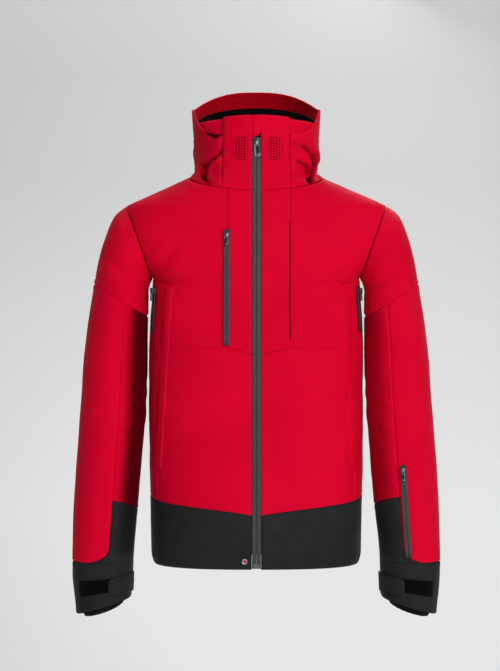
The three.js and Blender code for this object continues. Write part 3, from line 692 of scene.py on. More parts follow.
HOOD_BACK_FOLDS = [
    ([(104, 738), (80, 746), (40, 752)], 9, 7, False),
    ([(108, 776), (70, 792), (30, 790)], 11, 4, False),
    ([(96, 716), (60, 736), (20, 738)], 7, 4, False),
]
HOOD_FOLDS = [
    # line of (x, z), width, depth, how far the fold's lip hangs over it (which also sets how dark its painted
    # shade is)
    ([(-60, 753), (-80, 741), (-92, 731), (-98, 710)], 4.4, 21, 12),
    ([(-92, 786), (-74, 778), (-61, 783)], 3.4, 10, 6),
    ([(-99, 714), (-92, 698), (-84, 690)], 4.0, 8, 3),
    ([(90, 762), (102, 750), (107, 735), (102, 716)], 4.6, 21, 12),
    ([(78, 733), (91, 728), (98, 717), (99, 690)], 4.0, 18, 7),
    ([(66, 768), (84, 760), (96, 764)], 5.0, 3, 1),
]


def hood_relief(p):
    lift = 1.6 * ripple(p, 110, 2.6) * smooth(p[..., 2], 720, 780)
    pinch = np.where(p[..., 0] > 0, 11, 4) * smooth(np.abs(p[..., 0]), 70, 95)
    lift = lift - pinch * bell(p[..., 2] - 712, 18)
    for line, width, depth, _ in HOOD_FOLDS:
        lift = lift + crease(p, line, width, depth, lip=0.2)
    return lift + mirrored(p, HOOD_BACK_FOLDS)


# Painted shade: dark along the hood's folds, and a little darker over the front of the right cheek, which faces
# away from the key lamp.
def hood_shade(p):
    shade = 0.2 * smooth(-p[..., 0], 60, 75) * (p[..., 1] < 0)
    for line, width, _, hang in HOOD_FOLDS:
        shade = shade - 1.5 * crease(p, line, 1.15 * width, min(hang / 8, 1.0), lip=0)
    return np.clip(shade, 0, 0.97)


def hood_sag(p):
    """Above each fold the cloth hangs down over it."""
    drop = 0
    for line, width, _, hang in HOOD_FOLDS:
        raised = p - np.array([0, 0, 1.6 * width])
        drop = drop - crease(raised, line, 1.5 * width, hang, lip=0)
    return drop


# ---- Body panels -----------------------------------------------------------------------------------------
SIDES = (("right", -1), ("left", 1))
edge_gap = SEAM / 100
chest_zip_x, slit_x, flap_seam_x = 53, 61, 84
v_seam = (SIDE_LENGTH * 0.725, SIDE_LENGTH * 0.755)
welt_top = SIDE_LENGTH - 14
slant_rise = 12
back_seam = 1.42
yoke_seam = SIDE_LENGTH * 1.04


def arm_gap(z):
    return edge_gap + 0.005 * armhole_depth(z) / ARMHOLE_RADIUS


def seam_at(x, gap):
    return lambda z: on_body(x + gap, z)


def front_seam_x(z):
    return mix(CHEST_HALF - 19, CHEST_HALF - 40, np.clip((z - 172) / (welt_top - 172), 0, 1))


def front_seam(gap):
    return lambda z: on_body(front_seam_x(z) + gap, z)


welt_place = float(on_body(front_seam_x(welt_top), np.array(float(welt_top))))


def slant(g):
    share = np.where(g < 1, (g - welt_place) / (1 - welt_place), (back_seam - g) / (back_seam - 1))
    return welt_top + slant_rise * np.clip(share, 0, 1)


def hem_top(g):
    return mix(HEM_BAND, HEM_BAND_SIDE, fold(g)[2] ** 0.7)


def v_line(yoke_x):
    return lambda g: mix(*v_seam, np.clip(body(g, v_seam[0] * np.ones_like(g))[..., 0] / yoke_x, 0, 1))


def at(level, gap=0.0):
    return (lambda g: level(g) + gap) if callable(level) else (lambda g: level + gap + 0 * g)


def chest_side(z):
    return mix(front_seam(-SEAM)(z), 1 - arm_gap(z), np.clip((z - welt_top) / slant_rise, 0, 1))


def back_side(z):
    return mix(back_seam, 1, np.clip((z - welt_top) / slant_rise, 0, 1)) + arm_gap(z)


zip_edge = seam_at(MAIN_ZIP_HALF, SEAM)
for name, side in SIDES:
    yoke_x = slit_x if side > 0 else chest_zip_x
    top = at(neckline, -SEAM)
    pieces = {
        "front_yoke": (zip_edge, seam_at(yoke_x, -SEAM), [at(v_line(yoke_x), SEAM), top], 50, [300]),
        "front_chest": (seam_at(yoke_x, SEAM), chest_side,
                        [at(v_seam[1], 0.02), at(welt_top), at(welt_top + slant_rise), at(SIDE_LENGTH + 8),
                         at(tip_z - 6), top], 150, [110, 14, 9, 120, 50]),
        "front_lower": (zip_edge, front_seam(-SEAM),
                        [at(hem_top, SEAM), at(v_line(yoke_x), -SEAM)], 180, [290]),
        "side": (front_seam(SEAM), at(back_seam, -edge_gap),
                 [at(hem_top, SEAM), at(slant, -SEAM)], 120, [400]),
    }
    for piece, (start, end, levels, width, heights) in pieces.items():
        g, z = grid_of(start, end, levels, width, heights)
        plain = {
            "front_chest": ("low", lambda p: p[..., 0] > 0),
            "front_lower": ("high", lambda p: smooth(p[..., 0], yoke_x - 1, yoke_x + 1)),
        }.get(piece)
        cloth(f"{piece}_{name}", body, g, z, side, relief=body_relief, plain=plain)
    g, z = grid_of(zip_edge, at(1, -edge_gap), [at(0), at(hem_top, -SEAM)], 230, [105], extra_b=(20,))
    cloth(f"hem_front_{name}", body, g, z, side, relief=hem_relief, slot="charcoal_shell",
          materials=[shell_charcoal, lining_black])
g, z = grid_of(at(1, edge_gap), at(3, -edge_gap), [at(0), at(hem_top, -SEAM)], 420, [108], extra_b=(20,))
cloth("hem_back", body, g, z, relief=hem_relief, slot="charcoal_shell",
      materials=[shell_charcoal, lining_black])
levels = [at(hem_top, SEAM), at(welt_top), at(welt_top + slant_rise), at(yoke_seam, -SEAM)]
g, z = grid_of(back_side, lambda z: 4 - back_side(z), levels, 400, [400, 12, 25])
cloth("back_body", body, g, z, relief=body_relief)
g, z = grid_of(lambda z: 1 + arm_gap(z), lambda z: 3 - arm_gap(z),
               [at(yoke_seam, SEAM), at(tip_z - 6), at(neckline, -SEAM)], 420, [110, 60])
cloth("back_yoke", body, g, z, relief=body_relief)

# ---- Collar and hood -------------------------------------------------------------------------------------
CHIN_X = 62
collar_half = NECK_HALF - 2


def on_collar(x):
    return float(around_at(x, collar_half, NECK_ROUND))


u, v = np.meshgrid(spaced(54, 4), spaced(COLLAR_HEIGHT, 4))
g = mix(on_collar(MAIN_ZIP_HALF + SEAM), on_collar(CHIN_X - SEAM), u)
CHIN_TOP_FALL = 3
CHIN_STAND_OFF = 2.4  # the chin guard lies on the collar


def chin(g, v):
    """The chin guard: v runs from 0 on the body's neckline to 1 at the collar's top edge."""
    x = collar(g, neck_front + 0 * g)[..., 0]
    foot = neck_front + 0 * g
    for _ in range(6):
        foot = neckline(on_body(x, foot))
    z = mix(foot + SEAM, chin_top - CHIN_TOP_FALL * (x / CHIN_X) ** 2, v)
    upright = collar(g, z)
    seated = body(on_body(x, foot), foot)
    share = smooth(v, 0, 0.35)[..., None]
    depth = mix(seated[..., 1:2], upright[..., 1:2] - CHIN_STAND_OFF, share)
    return np.concatenate([upright[..., :1], depth, z[..., None]], -1)


for name, side in SIDES:
    cloth(f"chin_guard_{name}", chin, g, v, side, relief=lambda p: 0.9 * ripple(p, 90, 1.1), wave=0.3,
          step=(0.004, 0.01))

start = on_collar(CHIN_X - 22)
u, v = np.meshgrid(spaced(520, 5), spaced(110, 5))
g = mix(start, 4 - start, u)
_, front, share = fold(g)
collar_side = neck_side + 93
collar_front = mix(chin_top - 4, collar_side, share**1.5)
collar_back = mix(neck_back + 119, collar_side, share**2)
collar_top = np.where(front, collar_front, collar_back)
flare = 9 * smooth(v, 0.3, 1) * np.sin(share * np.pi / 2) ** 4
cloth("inner_collar", collar, g, mix(neckline(g) + 1, collar_top, v), outer=flare - FABRIC - 0.8, thickness=4,
      rim_kind=1, materials=[shell_red, fleece_black], slot="black_lining",
      relief=lambda p: 1.0 * ripple(p, 80, 0.4))

HOOD_FOOT = 0.004
u, v = np.meshgrid(spaced(95, 2.6), mix(HOOD_FOOT, 1, spaced(110, 2.6)))
g = mix(on_hood(CHIN_X + 0.5, np.clip(v, HOOD_FOOT, 1)), 1 - edge_gap / 2, u)
HOOD_STEP = (0.004, 0.005)
hood_look = dict(relief=hood_relief, sag=hood_sag, shade=hood_shade, materials=[shell_red, inside_red_painted_shade],
                 step=HOOD_STEP, body_name=None, pucker=0.4)
channel = dict(hood_look, grooves=[("high", 16, 0.7)])
hood_pieces = [cloth(f"hood_cheek_{name}", hood, g, v, side, **hood_look) for name, side in SIDES]
u, v = np.meshgrid(spaced(110, 3), mix(HOOD_FOOT, 1, spaced(150, 3)))
g = mix(1 + edge_gap / 4, 1.6 - edge_gap / 5, u)
hood_pieces += [cloth(f"hood_side_{name}", hood, g, v, side, **channel) for name, side in SIDES]
u, v = np.meshgrid(spaced(120, 3), mix(HOOD_FOOT, 1, spaced(150, 3, (16,))))
hood_pieces.append(cloth("hood_back", hood, mix(1.6 + edge_gap / 5, 2.4 - edge_gap / 5, u), v, **channel))
for piece in hood_pieces:
    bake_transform(piece)

# ---- Sleeves ---------------------------------------------------------------------------------------------
# Each station from the armhole to the hem: the outer and the inner line as [out, up], half the depth, and
# how far the arm has come forward. Out is from the side of the chest; up is a share of the armhole's height
# above the armpit, and of the sleeve's length below it.
STATIONS = [
    ((41.4, 1), (-6.4, 0), 70, 0), ((65, 0.86), (-0.5, -0.017), 73, 1), ((82.4, 0.55), (2.5, -0.045), 75, 2),
    ((97, 0.11), (3.5, -0.095), 76, 4), ((108, -0.085), (3.5, -0.163), 75, 7),
    ((119, -0.23), (3.5, -0.265), 72, 12),
    ((126.2, -0.406), (6.5, -0.406), 68, 20), ((132.8, -0.607), (14.3, -0.607), 62, 30),
    ((137, -0.706), (18.7, -0.706), 60, 35), ((138.5, -0.808), (24.8, -0.808), 59, 40),
    ((138.2, -0.884), (28.3, -0.884), 58, 43), ((136, -0.96), (29.5, -0.953), 57, 46),
    ((131, -1.048), (31, -0.997), 54, 49),
]


def rise(share):
    return SIDE_LENGTH + share * (2 * armhole_rise if share > 0 else SLEEVE_LENGTH)


outer_x = [CHEST_HALF + s[0][0] for s in STATIONS]
outer_z = [rise(s[0][1]) for s in STATIONS]
inner_x = [CHEST_HALF + s[1][0] for s in STATIONS]
inner_z = [rise(s[1][1]) for s in STATIONS]
outer_x[0], outer_z[0], inner_x[0] = tip_x, tip_z, CHEST_HALF - ARMPIT_INSET
sleeve_depth = [s[2] for s in STATIONS]
sleeve_forward = [s[3] for s in STATIONS]


def sleeve(turn, station):
    outer = np.stack([spline(outer_x, station), spline(outer_z, station)], -1)
    inner = np.stack([spline(inner_x, station), spline(inner_z, station)], -1)
    arm = (outer - inner) / 2
    half = np.linalg.norm(arm, axis=-1)
    power = 2 / mix(2, 2.25, np.clip(station, 0, 1))
    cos, sin = np.cos(turn * 2 * np.pi), np.sin(turn * 2 * np.pi)
    reach = half * np.sign(cos) * np.abs(cos) ** power
    flat = (outer + inner) / 2 + unit(arm) * reach[..., None]
    y = -spline(sleeve_forward, station) - spline(sleeve_depth, station) * np.sign(sin) * np.abs(sin) ** power
    return np.stack([flat[..., 0], y, flat[..., 1]], -1)


SLEEVE_FOLDS = [
    ([(206, 500), (238, 520), (268, 560)], 10, 3.2),
    ([(206, 478), (234, 484), (262, 502)], 9, 2.4),
    ([(210, 330), (238, 312), (262, 318)], 9, 2.6),
    ([(210, 296), (240, 276), (276, 286)], 9, 2.8),
    ([(214, 250), (236, 236), (262, 240)], 8, 2.0),
    ([(232, 450), (240, 380), (238, 300)], 16, 2.0),
    ([(226, 150), (250, 128), (286, 118)], 9, 2.0),
]


def sleeve_relief(p):
    both_faces = [(*fold_line, front) for fold_line in SLEEVE_FOLDS for front in (True, False)]
    return 1.5 * ripple(p, 150, 0.3) + mirrored(p, both_faces)


BICEP, FOREARM, CUFF, SLEEVE_HEM = 3.45, 8, 10, 12
FRONT_TURN, BACK_TURN = 0.285, 0.79
GAP, TURN_GAP = 0.005, 0.0008  # half a seam's gap, in stations and in turns
HEAD_START = 0.018
GAITER_TOP, GAITER_HEM, GAITER_REACH, GAITER_DRAW = 11.1, 12.1, 0.36, 8.5
PATCH_STATIONS, PATCH_TURNS, PATCH_SLANT = (10.78, 11.36), (0.13, 0.335), 0.7
TAB_STATIONS, TAB_TURNS, TAB_SLANT = (10.68, 11.42), (0.283, 0.475), 1.3
TAB_THICKNESS = 1.9


def ring_grid(start, end, length, around=460, pitch=5.0, extra=()):
    turn = np.linspace(0.5, 1.5, int(around / pitch), endpoint=False)
    return np.meshgrid(turn, mix(start, end, spaced(length, pitch, extra)))


def strip_grid(start, end, first, last, length, width, pitch=5.0, extra_a=(), extra_b=()):
    across = mix(first, last, spaced(width, pitch, extra_a))
    return np.meshgrid(across, mix(start, end, spaced(length, pitch, extra_b)))


FOREARM_RISE = {-1: 0.14, 1: 0.28}
# How deep the painted shade on the inside of each arm goes, standing in for the body's shadow: deepest on the
# right sleeve, away from the key lamp.
INNER_SHADE = {-1: 0.93, 1: 0.45}


def forearm_top(turn, side):
    """The charcoal panel starts lower on the inside of the arm."""
    return FOREARM - FOREARM_RISE[side] + 1.5 * np.minimum(turn - FRONT_TURN, BACK_TURN - turn)


def inner_shade(turn, side):
    """Painted shade on the inside of the hanging arm, which folds away behind its front."""
    return INNER_SHADE[side] * smooth(turn, 0.285, 0.365) * smooth(-turn, -0.78, -0.66)


def corner(station):
    """How far the red top sleeve draws back round its lower front corner, as a share of a turn."""
    t = np.clip((station - CORNER_START) / (CUFF - CORNER_START), 0, 1)
    return CORNER_TURN * (1 - np.sqrt(1 - t**2 * 0.998))


def under_arm(turn):
    """1 where the charcoal panel runs on into the cuff with no seam."""
    turn = np.mod(turn, 1)
    return ((turn > FRONT_TURN - CORNER_TURN) & (turn < BACK_TURN)).astype(float)


CORNER_START, CORNER_TURN = 9.3, 0.095
for name, side in SIDES:
    arm = f"sleeve_{name}"
    look = dict(side=side, body_name=arm, step=(0.004, 0.02), thickness=FABRIC)
    t, s = ring_grid(HEAD_START, BICEP - GAP, 200, extra=(189,))
    cloth(f"sleeve_head_{name}", sleeve, t, s, closed_around=True, relief=sleeve_relief,
          grooves=[("high", 11, 0.9)], **look)
    u, v = np.meshgrid(spaced(210, 5), spaced(430, 5, (405, 414, 420, 424)))
    s = mix(BICEP + GAP, CUFF - GAP, v)
    t = mix(BACK_TURN - 1 + TURN_GAP, FRONT_TURN - TURN_GAP - corner(s), u)
    cloth(f"top_sleeve_{name}", sleeve, t, s, relief=sleeve_relief, **look)
    u, v = np.meshgrid(spaced(200, 5), spaced(320, 5))
    t = mix(FRONT_TURN + TURN_GAP, BACK_TURN - TURN_GAP, u)
    s = mix(BICEP + GAP, forearm_top(t, side) - GAP, v)
    # Painted shade on the inside of the arm.
    cloth(f"under_sleeve_{name}", sleeve, t, s, relief=sleeve_relief, shade=inner_shade(t, side), **look)
    dark = dict(look, slot="charcoal_shell", materials=[shell_charcoal, lining_black])
    u, v = np.meshgrid(spaced(180, 5), spaced(105, 4, (80, 90, 96, 100)))
    t = mix(FRONT_TURN + TURN_GAP, BACK_TURN - TURN_GAP, u)
    for _ in range(4):
        s = mix(forearm_top(t, side) + GAP, CUFF - GAP, v)
        t = mix(FRONT_TURN + TURN_GAP - corner(s), BACK_TURN - TURN_GAP, u)
    # The painted shade on the inside of the arm runs on into the charcoal panel and fades out above the cuff.
    cloth(f"forearm_panel_{name}", sleeve, t, s, relief=sleeve_relief, plain=("high", lambda p: 1),
          shade=0.8 * inner_shade(t, side) * smooth(-s, -CUFF, -9.4), **dark)
    t, s = ring_grid(CUFF + GAP, SLEEVE_HEM, 95, 380, extra=(78,))
    cloth(f"cuff_band_{name}", sleeve, t, s, closed_around=True, relief=lambda p: 1.2 * ripple(p, 90, 1.4),
          grooves=[("high", 17, 0.7)], plain=("low", under_arm(t)), **dark)
    t, s = ring_grid(GAITER_TOP, GAITER_HEM, 40, 340, 4)
    s = s + GAITER_REACH * (s - GAITER_TOP) * (1 - np.cos(t * 2 * np.pi)) / 2
    cloth(f"gaiter_{name}", sleeve, t, s, closed_around=True,
          outer=-FABRIC - 1 - GAITER_DRAW * smooth(s, GAITER_TOP + 0.05, GAITER_TOP + 0.6),
          relief=lambda p: 1.1 * ripple(p, 26, 0.9), pucker=0.9,
          **dict(dark, thickness=3, slot="black_lining", materials=[rib_black, rib_black]))
    t, s = strip_grid(*PATCH_STATIONS, *PATCH_TURNS, 28, 62, 3)
    s = s - PATCH_SLANT * (t - PATCH_TURNS[0])
    cloth(f"cuff_patch_{name}", sleeve, t, s, outer=2.4, roll=0.5, pucker=0,
          **dict(dark, thickness=TAB_THICKNESS, slot="loop_patch", materials=[fleece_black, fleece_black]))
    u, v = np.meshgrid(spaced(60, 3), spaced(42, 3))
    t = mix(TAB_TURNS[0] + 0.02 * np.abs(2 * v - 1) ** 6, TAB_TURNS[1], u)
    s = mix(TAB_STATIONS[0] - TAB_SLANT * (t - FRONT_TURN), TAB_STATIONS[1], v)
    cloth(f"cuff_tab_{name}", sleeve, t, s, outer=4.8, roll=0.6, pucker=0.1,
          **dict(dark, thickness=TAB_THICKNESS, body_name=f"cuff_tab_{name}",
                 materials=[shell_charcoal, shell_charcoal]))

# ---- Flaps and welts -------------------------------------------------------------------------------------
flap_levels = [at(v_seam[1] + 16), at(SIDE_LENGTH * 620 / 525)]
g, z = grid_of(seam_at(slit_x, SEAM), seam_at(flap_seam_x, 0), flap_levels, 23, [208], 3)
cloth("storm_flap", body, g, z, outer=2.2, thickness=1.8, roll=0.7, pucker=0.15, body_name="storm_flap",
      materials=[shell_red, shell_red], relief=lambda p: 0.4 * ripple(p, 70, 0.2))
# A thin black strip under the storm flap's free edge: painted shadow in the gap of the pocket slit.
g, z = grid_of(seam_at(slit_x, -1.1), seam_at(slit_x, 0.9), flap_levels, 2, [208], 3)
cloth("pocket_slit_shadow", body, g, z, outer=0.9, thickness=0.8, roll=0.1, pucker=0, wave=0, slot="black_lining",
      materials=[fleece_black, fleece_black], hides=())
WELT_HALF = 6.5
for name, side in SIDES:
    g, z = grid_of(front_seam(-WELT_HALF), front_seam(WELT_HALF),
                   [at(HEM_BAND_SIDE + 50), at(welt_top - 4)], 13, [330], 3)
    cloth(f"pocket_welt_{name}", body, g, z, side, outer=2.0, thickness=1.7, roll=0.8, pucker=0.2,
          materials=[shell_red, shell_red])


# ---- Zips ------------------------------------------------------------------------------------------------
def node_points(node):
    return np.array([v.co for v in frame["nodes"][node].data.vertices], float).reshape(-1, 3)


def strap(*nodes):
    """A long flat node's own frame: its middle, its axes (across, out, up) and half its size along them."""
    points = np.concatenate([node_points(node) for node in nodes])
    middle = (points.max(0) + points.min(0)) / 2
    axes = np.linalg.svd(points - points.mean(0), full_matrices=False)[2]
    up = axes[0] * np.sign(axes[0][2])
    out = axes[2] * -np.sign(axes[2][1])
    across = np.cross(up, out)
    local = (points - middle) @ np.array([across, out, up]).T
    middle = middle + ((local.max(0) + local.min(0)) / 2) @ np.array([across, out, up])
    return middle, (across, out, up), (local.max(0) - local.min(0)) / 2


def boxes(name, centres, sizes, axes, material, body_name, taper=0.75, hides=()):
    """Many small blocks with narrowed front faces, as one mesh."""
    verts, faces = [], []
    across, out, up = axes
    for centre, (w, d, h) in zip(centres, sizes):
        first = len(verts)
        for y, t in ((-1, 1), (0.4, 1), (1, taper)):
            for x, z in ((-1, -1), (1, -1), (1, 1), (-1, 1)):
                verts.append(centre + across * w * x * t + out * d * y + up * h * z * t)
        faces += ring_faces(first, 3, 4)
    return place_object(name, verts, faces, [material], body_name=body_name, hides=hides)


TOOTH_PITCH, TOOTH_STAGGER = 0.0016, 0.0004


def laminated_tape(name, nodes, body_name, half, gap):
    """Two smooth laminated tapes that meet over a row of coil teeth."""
    middle, (across, out, up), size = strap(*nodes)
    length = size[2]
    rows = np.linspace(-1, 1, max(int(length / 0.004), 8))
    profile = [(gap, -1), (gap, 0.55), (gap + 0.3, 0.95), (gap + 0.9, 1.0), (half * 0.55, 0.92),
               (half - 0.9, 1.0), (half - 0.3, 0.8), (half, 0.3), (half, -1)]
    verts, faces = [], []
    for side in (-1, 1):
        first = len(verts)
        for row in rows:
            for x, y in profile:
                verts.append(middle + across * side * x * MM + out * y * size[1] + up * row * length)
        faces += [face[::side] for face in ring_faces(first, len(rows), len(profile))]
    place_object(f"{name}_laminate", verts, faces, [tape_grey], body_name=body_name, hides=nodes)
    count = int(2 * length / TOOTH_PITCH) - 2
    foot = middle - out * size[1] * 0.3
    centres = [foot + up * (-length + (k + 1.5) * TOOTH_PITCH) + across * TOOTH_STAGGER * (1 if k % 2 else -1)
               for k in range(count)]
    tooth = (0.0011, size[1] * 0.9, 0.00055)
    boxes(f"{name}_teeth", centres, [tooth] * count, (across, out, up), coil_black, body_name)
    return middle, (across, out, up), size


def plate(name, outline, thickness, centre, axes, material, body_name, bevel=0.25, hides=(), lean=0.0):
    """A flat rounded plate from an outline in millimetres, across and up, standing out of the cloth."""
    across, out, up = axes
    points = np.asarray(outline, float)
    if lean:
        c, s = math.cos(lean), math.sin(lean)
        points = points @ np.array([[c, s], [-s, c]])
    layers = []
    middle = points.mean(0)
    size = np.linalg.norm(points - middle, axis=1, keepdims=True)
    flank = 0.5 - bevel / thickness
    for depth, shrink in ((-0.5, bevel), (-flank, 0), (flank, 0), (0.5, bevel)):
        inset = middle + (points - middle) * (1 - shrink / np.maximum(size, 0.6))
        layers.append([centre + (across * x + up * z + out * depth * thickness) * MM for x, z in inset])
    return place_object(name, np.concatenate(layers), ring_faces(0, 4, len(points)), [material],
                        body_name=body_name, hides=hides)


def rounded(width_top, width_bottom, length, corner, top_corner=None, steps=7):
    """The outline of a tapering tab, from 0 down to its length, with round corners."""
    points = []
    top_corner = corner if top_corner is None else top_corner
    high, low = width_top / 2 - top_corner, width_bottom / 2 - corner
    corners = [(high, -top_corner, 0, top_corner), (-high, -top_corner, 90, top_corner),
               (-low, corner - length, 180, corner), (low, corner - length, 270, corner)]
    for x, z, turn, radius in corners:
        for k in range(steps):
            angle = math.radians(turn + 90 * k / (steps - 1))
            points.append((x + radius * math.cos(angle), z + radius * math.sin(angle)))
    return points


def puller_look(name, lean=0.0):
    """A moulded grip over the lower part of a cast puller: a dark tab, a black grip on its face and a bright
    tip.
    """
    node = f"{name}_puller"
    middle, axes, size = strap(node)
    across, out, up = axes
    top = middle + up * size[2]
    length, width = 2 * size[2] / MM, 2 * size[0] / MM
    start, grip, wide = 0.30 * length, 0.72 * length, width * 1.06
    front = top + out * 0.0013
    parts = [
        ("tab", rounded(wide * 0.8, wide, grip, wide * 0.4, wide * 0.3), start, 2.4, top, metal_dark, 0.4),
        ("grip", rounded(wide * 0.46, wide * 0.6, grip * 0.62, wide * 0.26), start + grip * 0.12, 0.5, front,
         rubber_black, 0.15),
        ("tip", rounded(wide * 0.5, wide * 0.5, 1.4, 0.6), start + grip * 0.84, 0.5, front, metal_light, 0.12),
    ]
    for part, outline, by, thickness, centre, material, bevel in parts:
        hung = [(x, z - by) for x, z in outline]
        plate(f"{name}_puller_{part}", hung, thickness, centre, axes, material, node, bevel,
              lean=lean)


def slider_look(name):
    """The slider's crowned body over its plates."""
    node = f"{name}_slider"
    box_low, box_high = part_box(node)
    length, width = (box_high.z - box_low.z) / MM, (box_high.x - box_low.x) / MM
    across, out, up = TAPE_AXES[name]
    points = node_points(node)
    middle = (points.max(0) + points.min(0)) / 2
    top = middle + up * (length / 2) * MM + out * (((points - middle) @ out).max() - 0.0021)
    crown = rounded(width * 0.95, width * 0.72, length * 0.98, width * 0.22, width * 0.3)
    plate(f"{name}_slider_crown", crown, 2.2, top, (across, out, up), metal_dark, node, 0.6)


TAPE_AXES = {"main": laminated_tape("main_zip", ["main_tape_left", "main_tape_right"], "shell", 8.0, 0.22)[1]}
for name in ("chest", "pit_right", "pit_left", "pass"):
    body_name = "sleeve_left" if name == "pass" else "shell"
    TAPE_AXES[name] = laminated_tape(f"{name}_zip", [f"{name}_tape"], body_name, 5.8, 0.2)[1]
for name in TAPE_AXES:
    puller_look(name, lean=math.radians(10) if name == "main" else 0.0)
    slider_look(name)
for node in frame["nodes"]:
    if node.endswith(("_slider", "_puller")) or node == "main_box":
        mesh = frame["nodes"][node].data
        mesh.materials.clear()
        mesh.materials.append(metal_dark)

# The garage: a folded flap from the top edge of the collar down over the end of the zip.
low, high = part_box("zip_garage")
across, out, up = TAPE_AXES["main"]
top = np.array([(low.x + high.x) / 2, (low.y + high.y) / 2, (low.z + high.z) / 2]) + up * (high.z - low.z) / 2
reach = (low.x + high.x) / 2 / MM
outline = [(-9, 0), (4, 0.6), (20, 0), (17.6, -8), (14.4, -16), (11, -24), (8.4, -30), (4.5, -35.5), (-1, -39.5),
           (-7.4, -41.5), (-7.9, -20)]
plate("zip_garage_flap", [(x - reach, z) for x, z in outline], 1.9, top, (across, out, up), shell_red, "shell",
      0.6, hides=["zip_garage"])


# ---- Trims -----------------------------------------------------------------------------------------------
def lathe(name, profile, centre, axes, material, body_name, hides=(), steps=40):
    """A turned piece: profile is (radius, out) in millimetres, from its middle outwards."""
    across, out, up = axes
    verts = []
    for radius, height in profile:
        for k in range(steps):
            angle = 2 * math.pi * k / steps
            spoke = across * math.cos(angle) + up * math.sin(angle)
            verts.append(centre + spoke * radius * MM + out * height * MM)
    return place_object(name, verts, ring_faces(0, len(profile), steps), [material],
                        body_name=body_name, hides=hides)


low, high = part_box("hem_snap")
snap = np.array((low + high) / 2)
snap[1] = high.y - 0.0008
face = (np.array([1.0, 0, 0]), np.array([0, -1.0, 0]), np.array([0, 0, 1.0]))
SNAP_PROFILES = [
    ("washer", [(0.2, 0), (6.9, 0), (7.0, 0.5), (6.6, 0.9), (0.2, 1.0)], rubber_black, ()),
    ("ring", [(2.9, 0.4), (5.2, 0.4), (5.5, 1.0), (5.2, 1.8), (4.4, 2.2), (3.6, 2.0), (3.0, 1.4)], metal_light,
     ["hem_snap"]),
    ("cap", [(0.1, 0.5), (3.1, 0.5), (3.1, 1.3), (2.4, 1.7), (1.2, 1.9), (0.1, 1.95)], enamel_red, ()),
]
for piece, profile, material, hides in SNAP_PROFILES:
    lathe(f"hem_snap_{piece}", profile, snap, face, material, "shell", hides=hides)

# The hang loop: a woven band bent into an arch.
low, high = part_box("hang_loop")
middle = np.array([(low.x + high.x) / 2, (low.y + high.y) / 2, low.z])
band, thick = 0.006, high.y - low.y
half, height = (high.x - low.x) / 2 - band, (high.z - low.z) - band
turns = np.linspace(0, math.pi, 49)


def squared(wave):
    return math.copysign(abs(wave) ** 0.6, wave)


around = np.linspace(0, 2 * math.pi, 16, endpoint=False)
profile = [(squared(math.cos(a)), squared(math.sin(a))) for a in around]
verts = [middle + np.array([(half + band * (x + 1) / 2) * math.cos(t), y * thick / 2,
                            (height + band * (x + 1) / 2) * math.sin(t)]) for t in turns for x, y in profile]
faces = ring_faces(0, len(turns), len(profile))
place_object("hang_loop_band", verts, faces, [webbing_black], body_name="shell",
             hides=["hang_loop"])

# The breathing holes in the chin guards, as black discs: the holes' darkness is painted shade.
# Each column's distance from the middle, its number of holes and their radius.
COLUMNS = (
    (42.4, 6, 0.975), (37.0, 8, 1.235), (31.7, 9, 1.365), (26.4, 9, 1.43), (21.2, 9, 1.3), (16.6, 8, 0.65))
HOLE_PITCH, HOLE_MIDDLE, LEFT_SHIFT = 4.9, 754.0, 5
for name, side in SIDES:
    verts, faces = [], []
    for x, count, radius in COLUMNS:
        x = x + (LEFT_SHIFT if side > 0 else 0)
        for row in range(count):
            height = HOLE_MIDDLE + (row - (count - 1) / 2) * HOLE_PITCH
            g = np.array(on_collar(x))
            z = np.array(height)
            normal = normals(collar, g, z, 0.004, 1.0)
            centre = collar(g, z) + np.array([0, -CHIN_STAND_OFF, 0]) + normal * 0.5
            across = unit(np.cross(np.array([0, 0, 1.0]), normal))
            up = np.cross(normal, across)
            first = len(verts)
            for depth, size in ((-0.9, 0.7), (0.0, 1.0), (0.25, 0.8)):
                for t in range(12):
                    angle = t * math.pi / 6
                    spoke = across * math.cos(angle) + up * math.sin(angle)
                    verts.append((centre + normal * depth + spoke * radius * size) * np.array([side, 1, 1]))
            faces += ring_faces(first, 3, 12)
    place_object(f"chin_perforations_{name}", row_frame(np.array(verts)), faces, [hole_painted_shade],
                 body_name="shell")

# Stitch rows, by colour.
# Each row: the piece, its edges and the distances in from them.
RED_ROWS = [
    ("front_yoke", ("low", "end", "start"), (2.4,)), ("front_lower", ("end", "start"), (2.4,)),
    ("pocket_welt", ("start", "end"), (1.8,)), ("chin_guard", ("high", "end", "start"), (2.4,)),
    ("sleeve_head", ("high",), (2.2, 11)), ("top_sleeve", ("start", "end"), (2.2,)),
    ("side", ("start", "end", "high"), (2.2,)),
]
DARK_ROWS = [
    ("hem_front", ("high",), (2.4,)), ("hem_front", ("low",), (14,)), ("cuff_band", ("high",), (17,)),
    ("cuff_band", ("low",), (2.4,)), ("forearm_panel", ("low", "start", "end"), (2.2,)),
    ("cuff_tab", ("low", "high", "start", "end"), (2.0,)),
]


def stitch_rows(table):
    return [edge_line(f"{piece}_{name}", edge, distance) for name, _ in SIDES
            for piece, edges, distances in table for edge in edges for distance in distances]


red_rows = stitch_rows(RED_ROWS) + [
    edge_line("storm_flap", "end", 2.0), edge_line("back_yoke", "low", 2.4),
    edge_line("front_chest_right", "start", 2.4)]
dark_rows = stitch_rows(DARK_ROWS) + [edge_line("hem_back", "high", 2.4), edge_line("hem_back", "low", 14)]
stitches("stitching_red", red_rows, thread_red)
stitches("stitching_dark", dark_rows, thread_black)

# ---- Stage, light and camera -----------------------------------------------------------------------------
CAMERA_DISTANCE = 3.6
EYE = row_frame([-11.5, 0, 417.3])
floor_z = row_frame([0, 0, 0])[2] - 0.62
WALL, BEND, WIDTH = 3.4, 1.6, 9.0


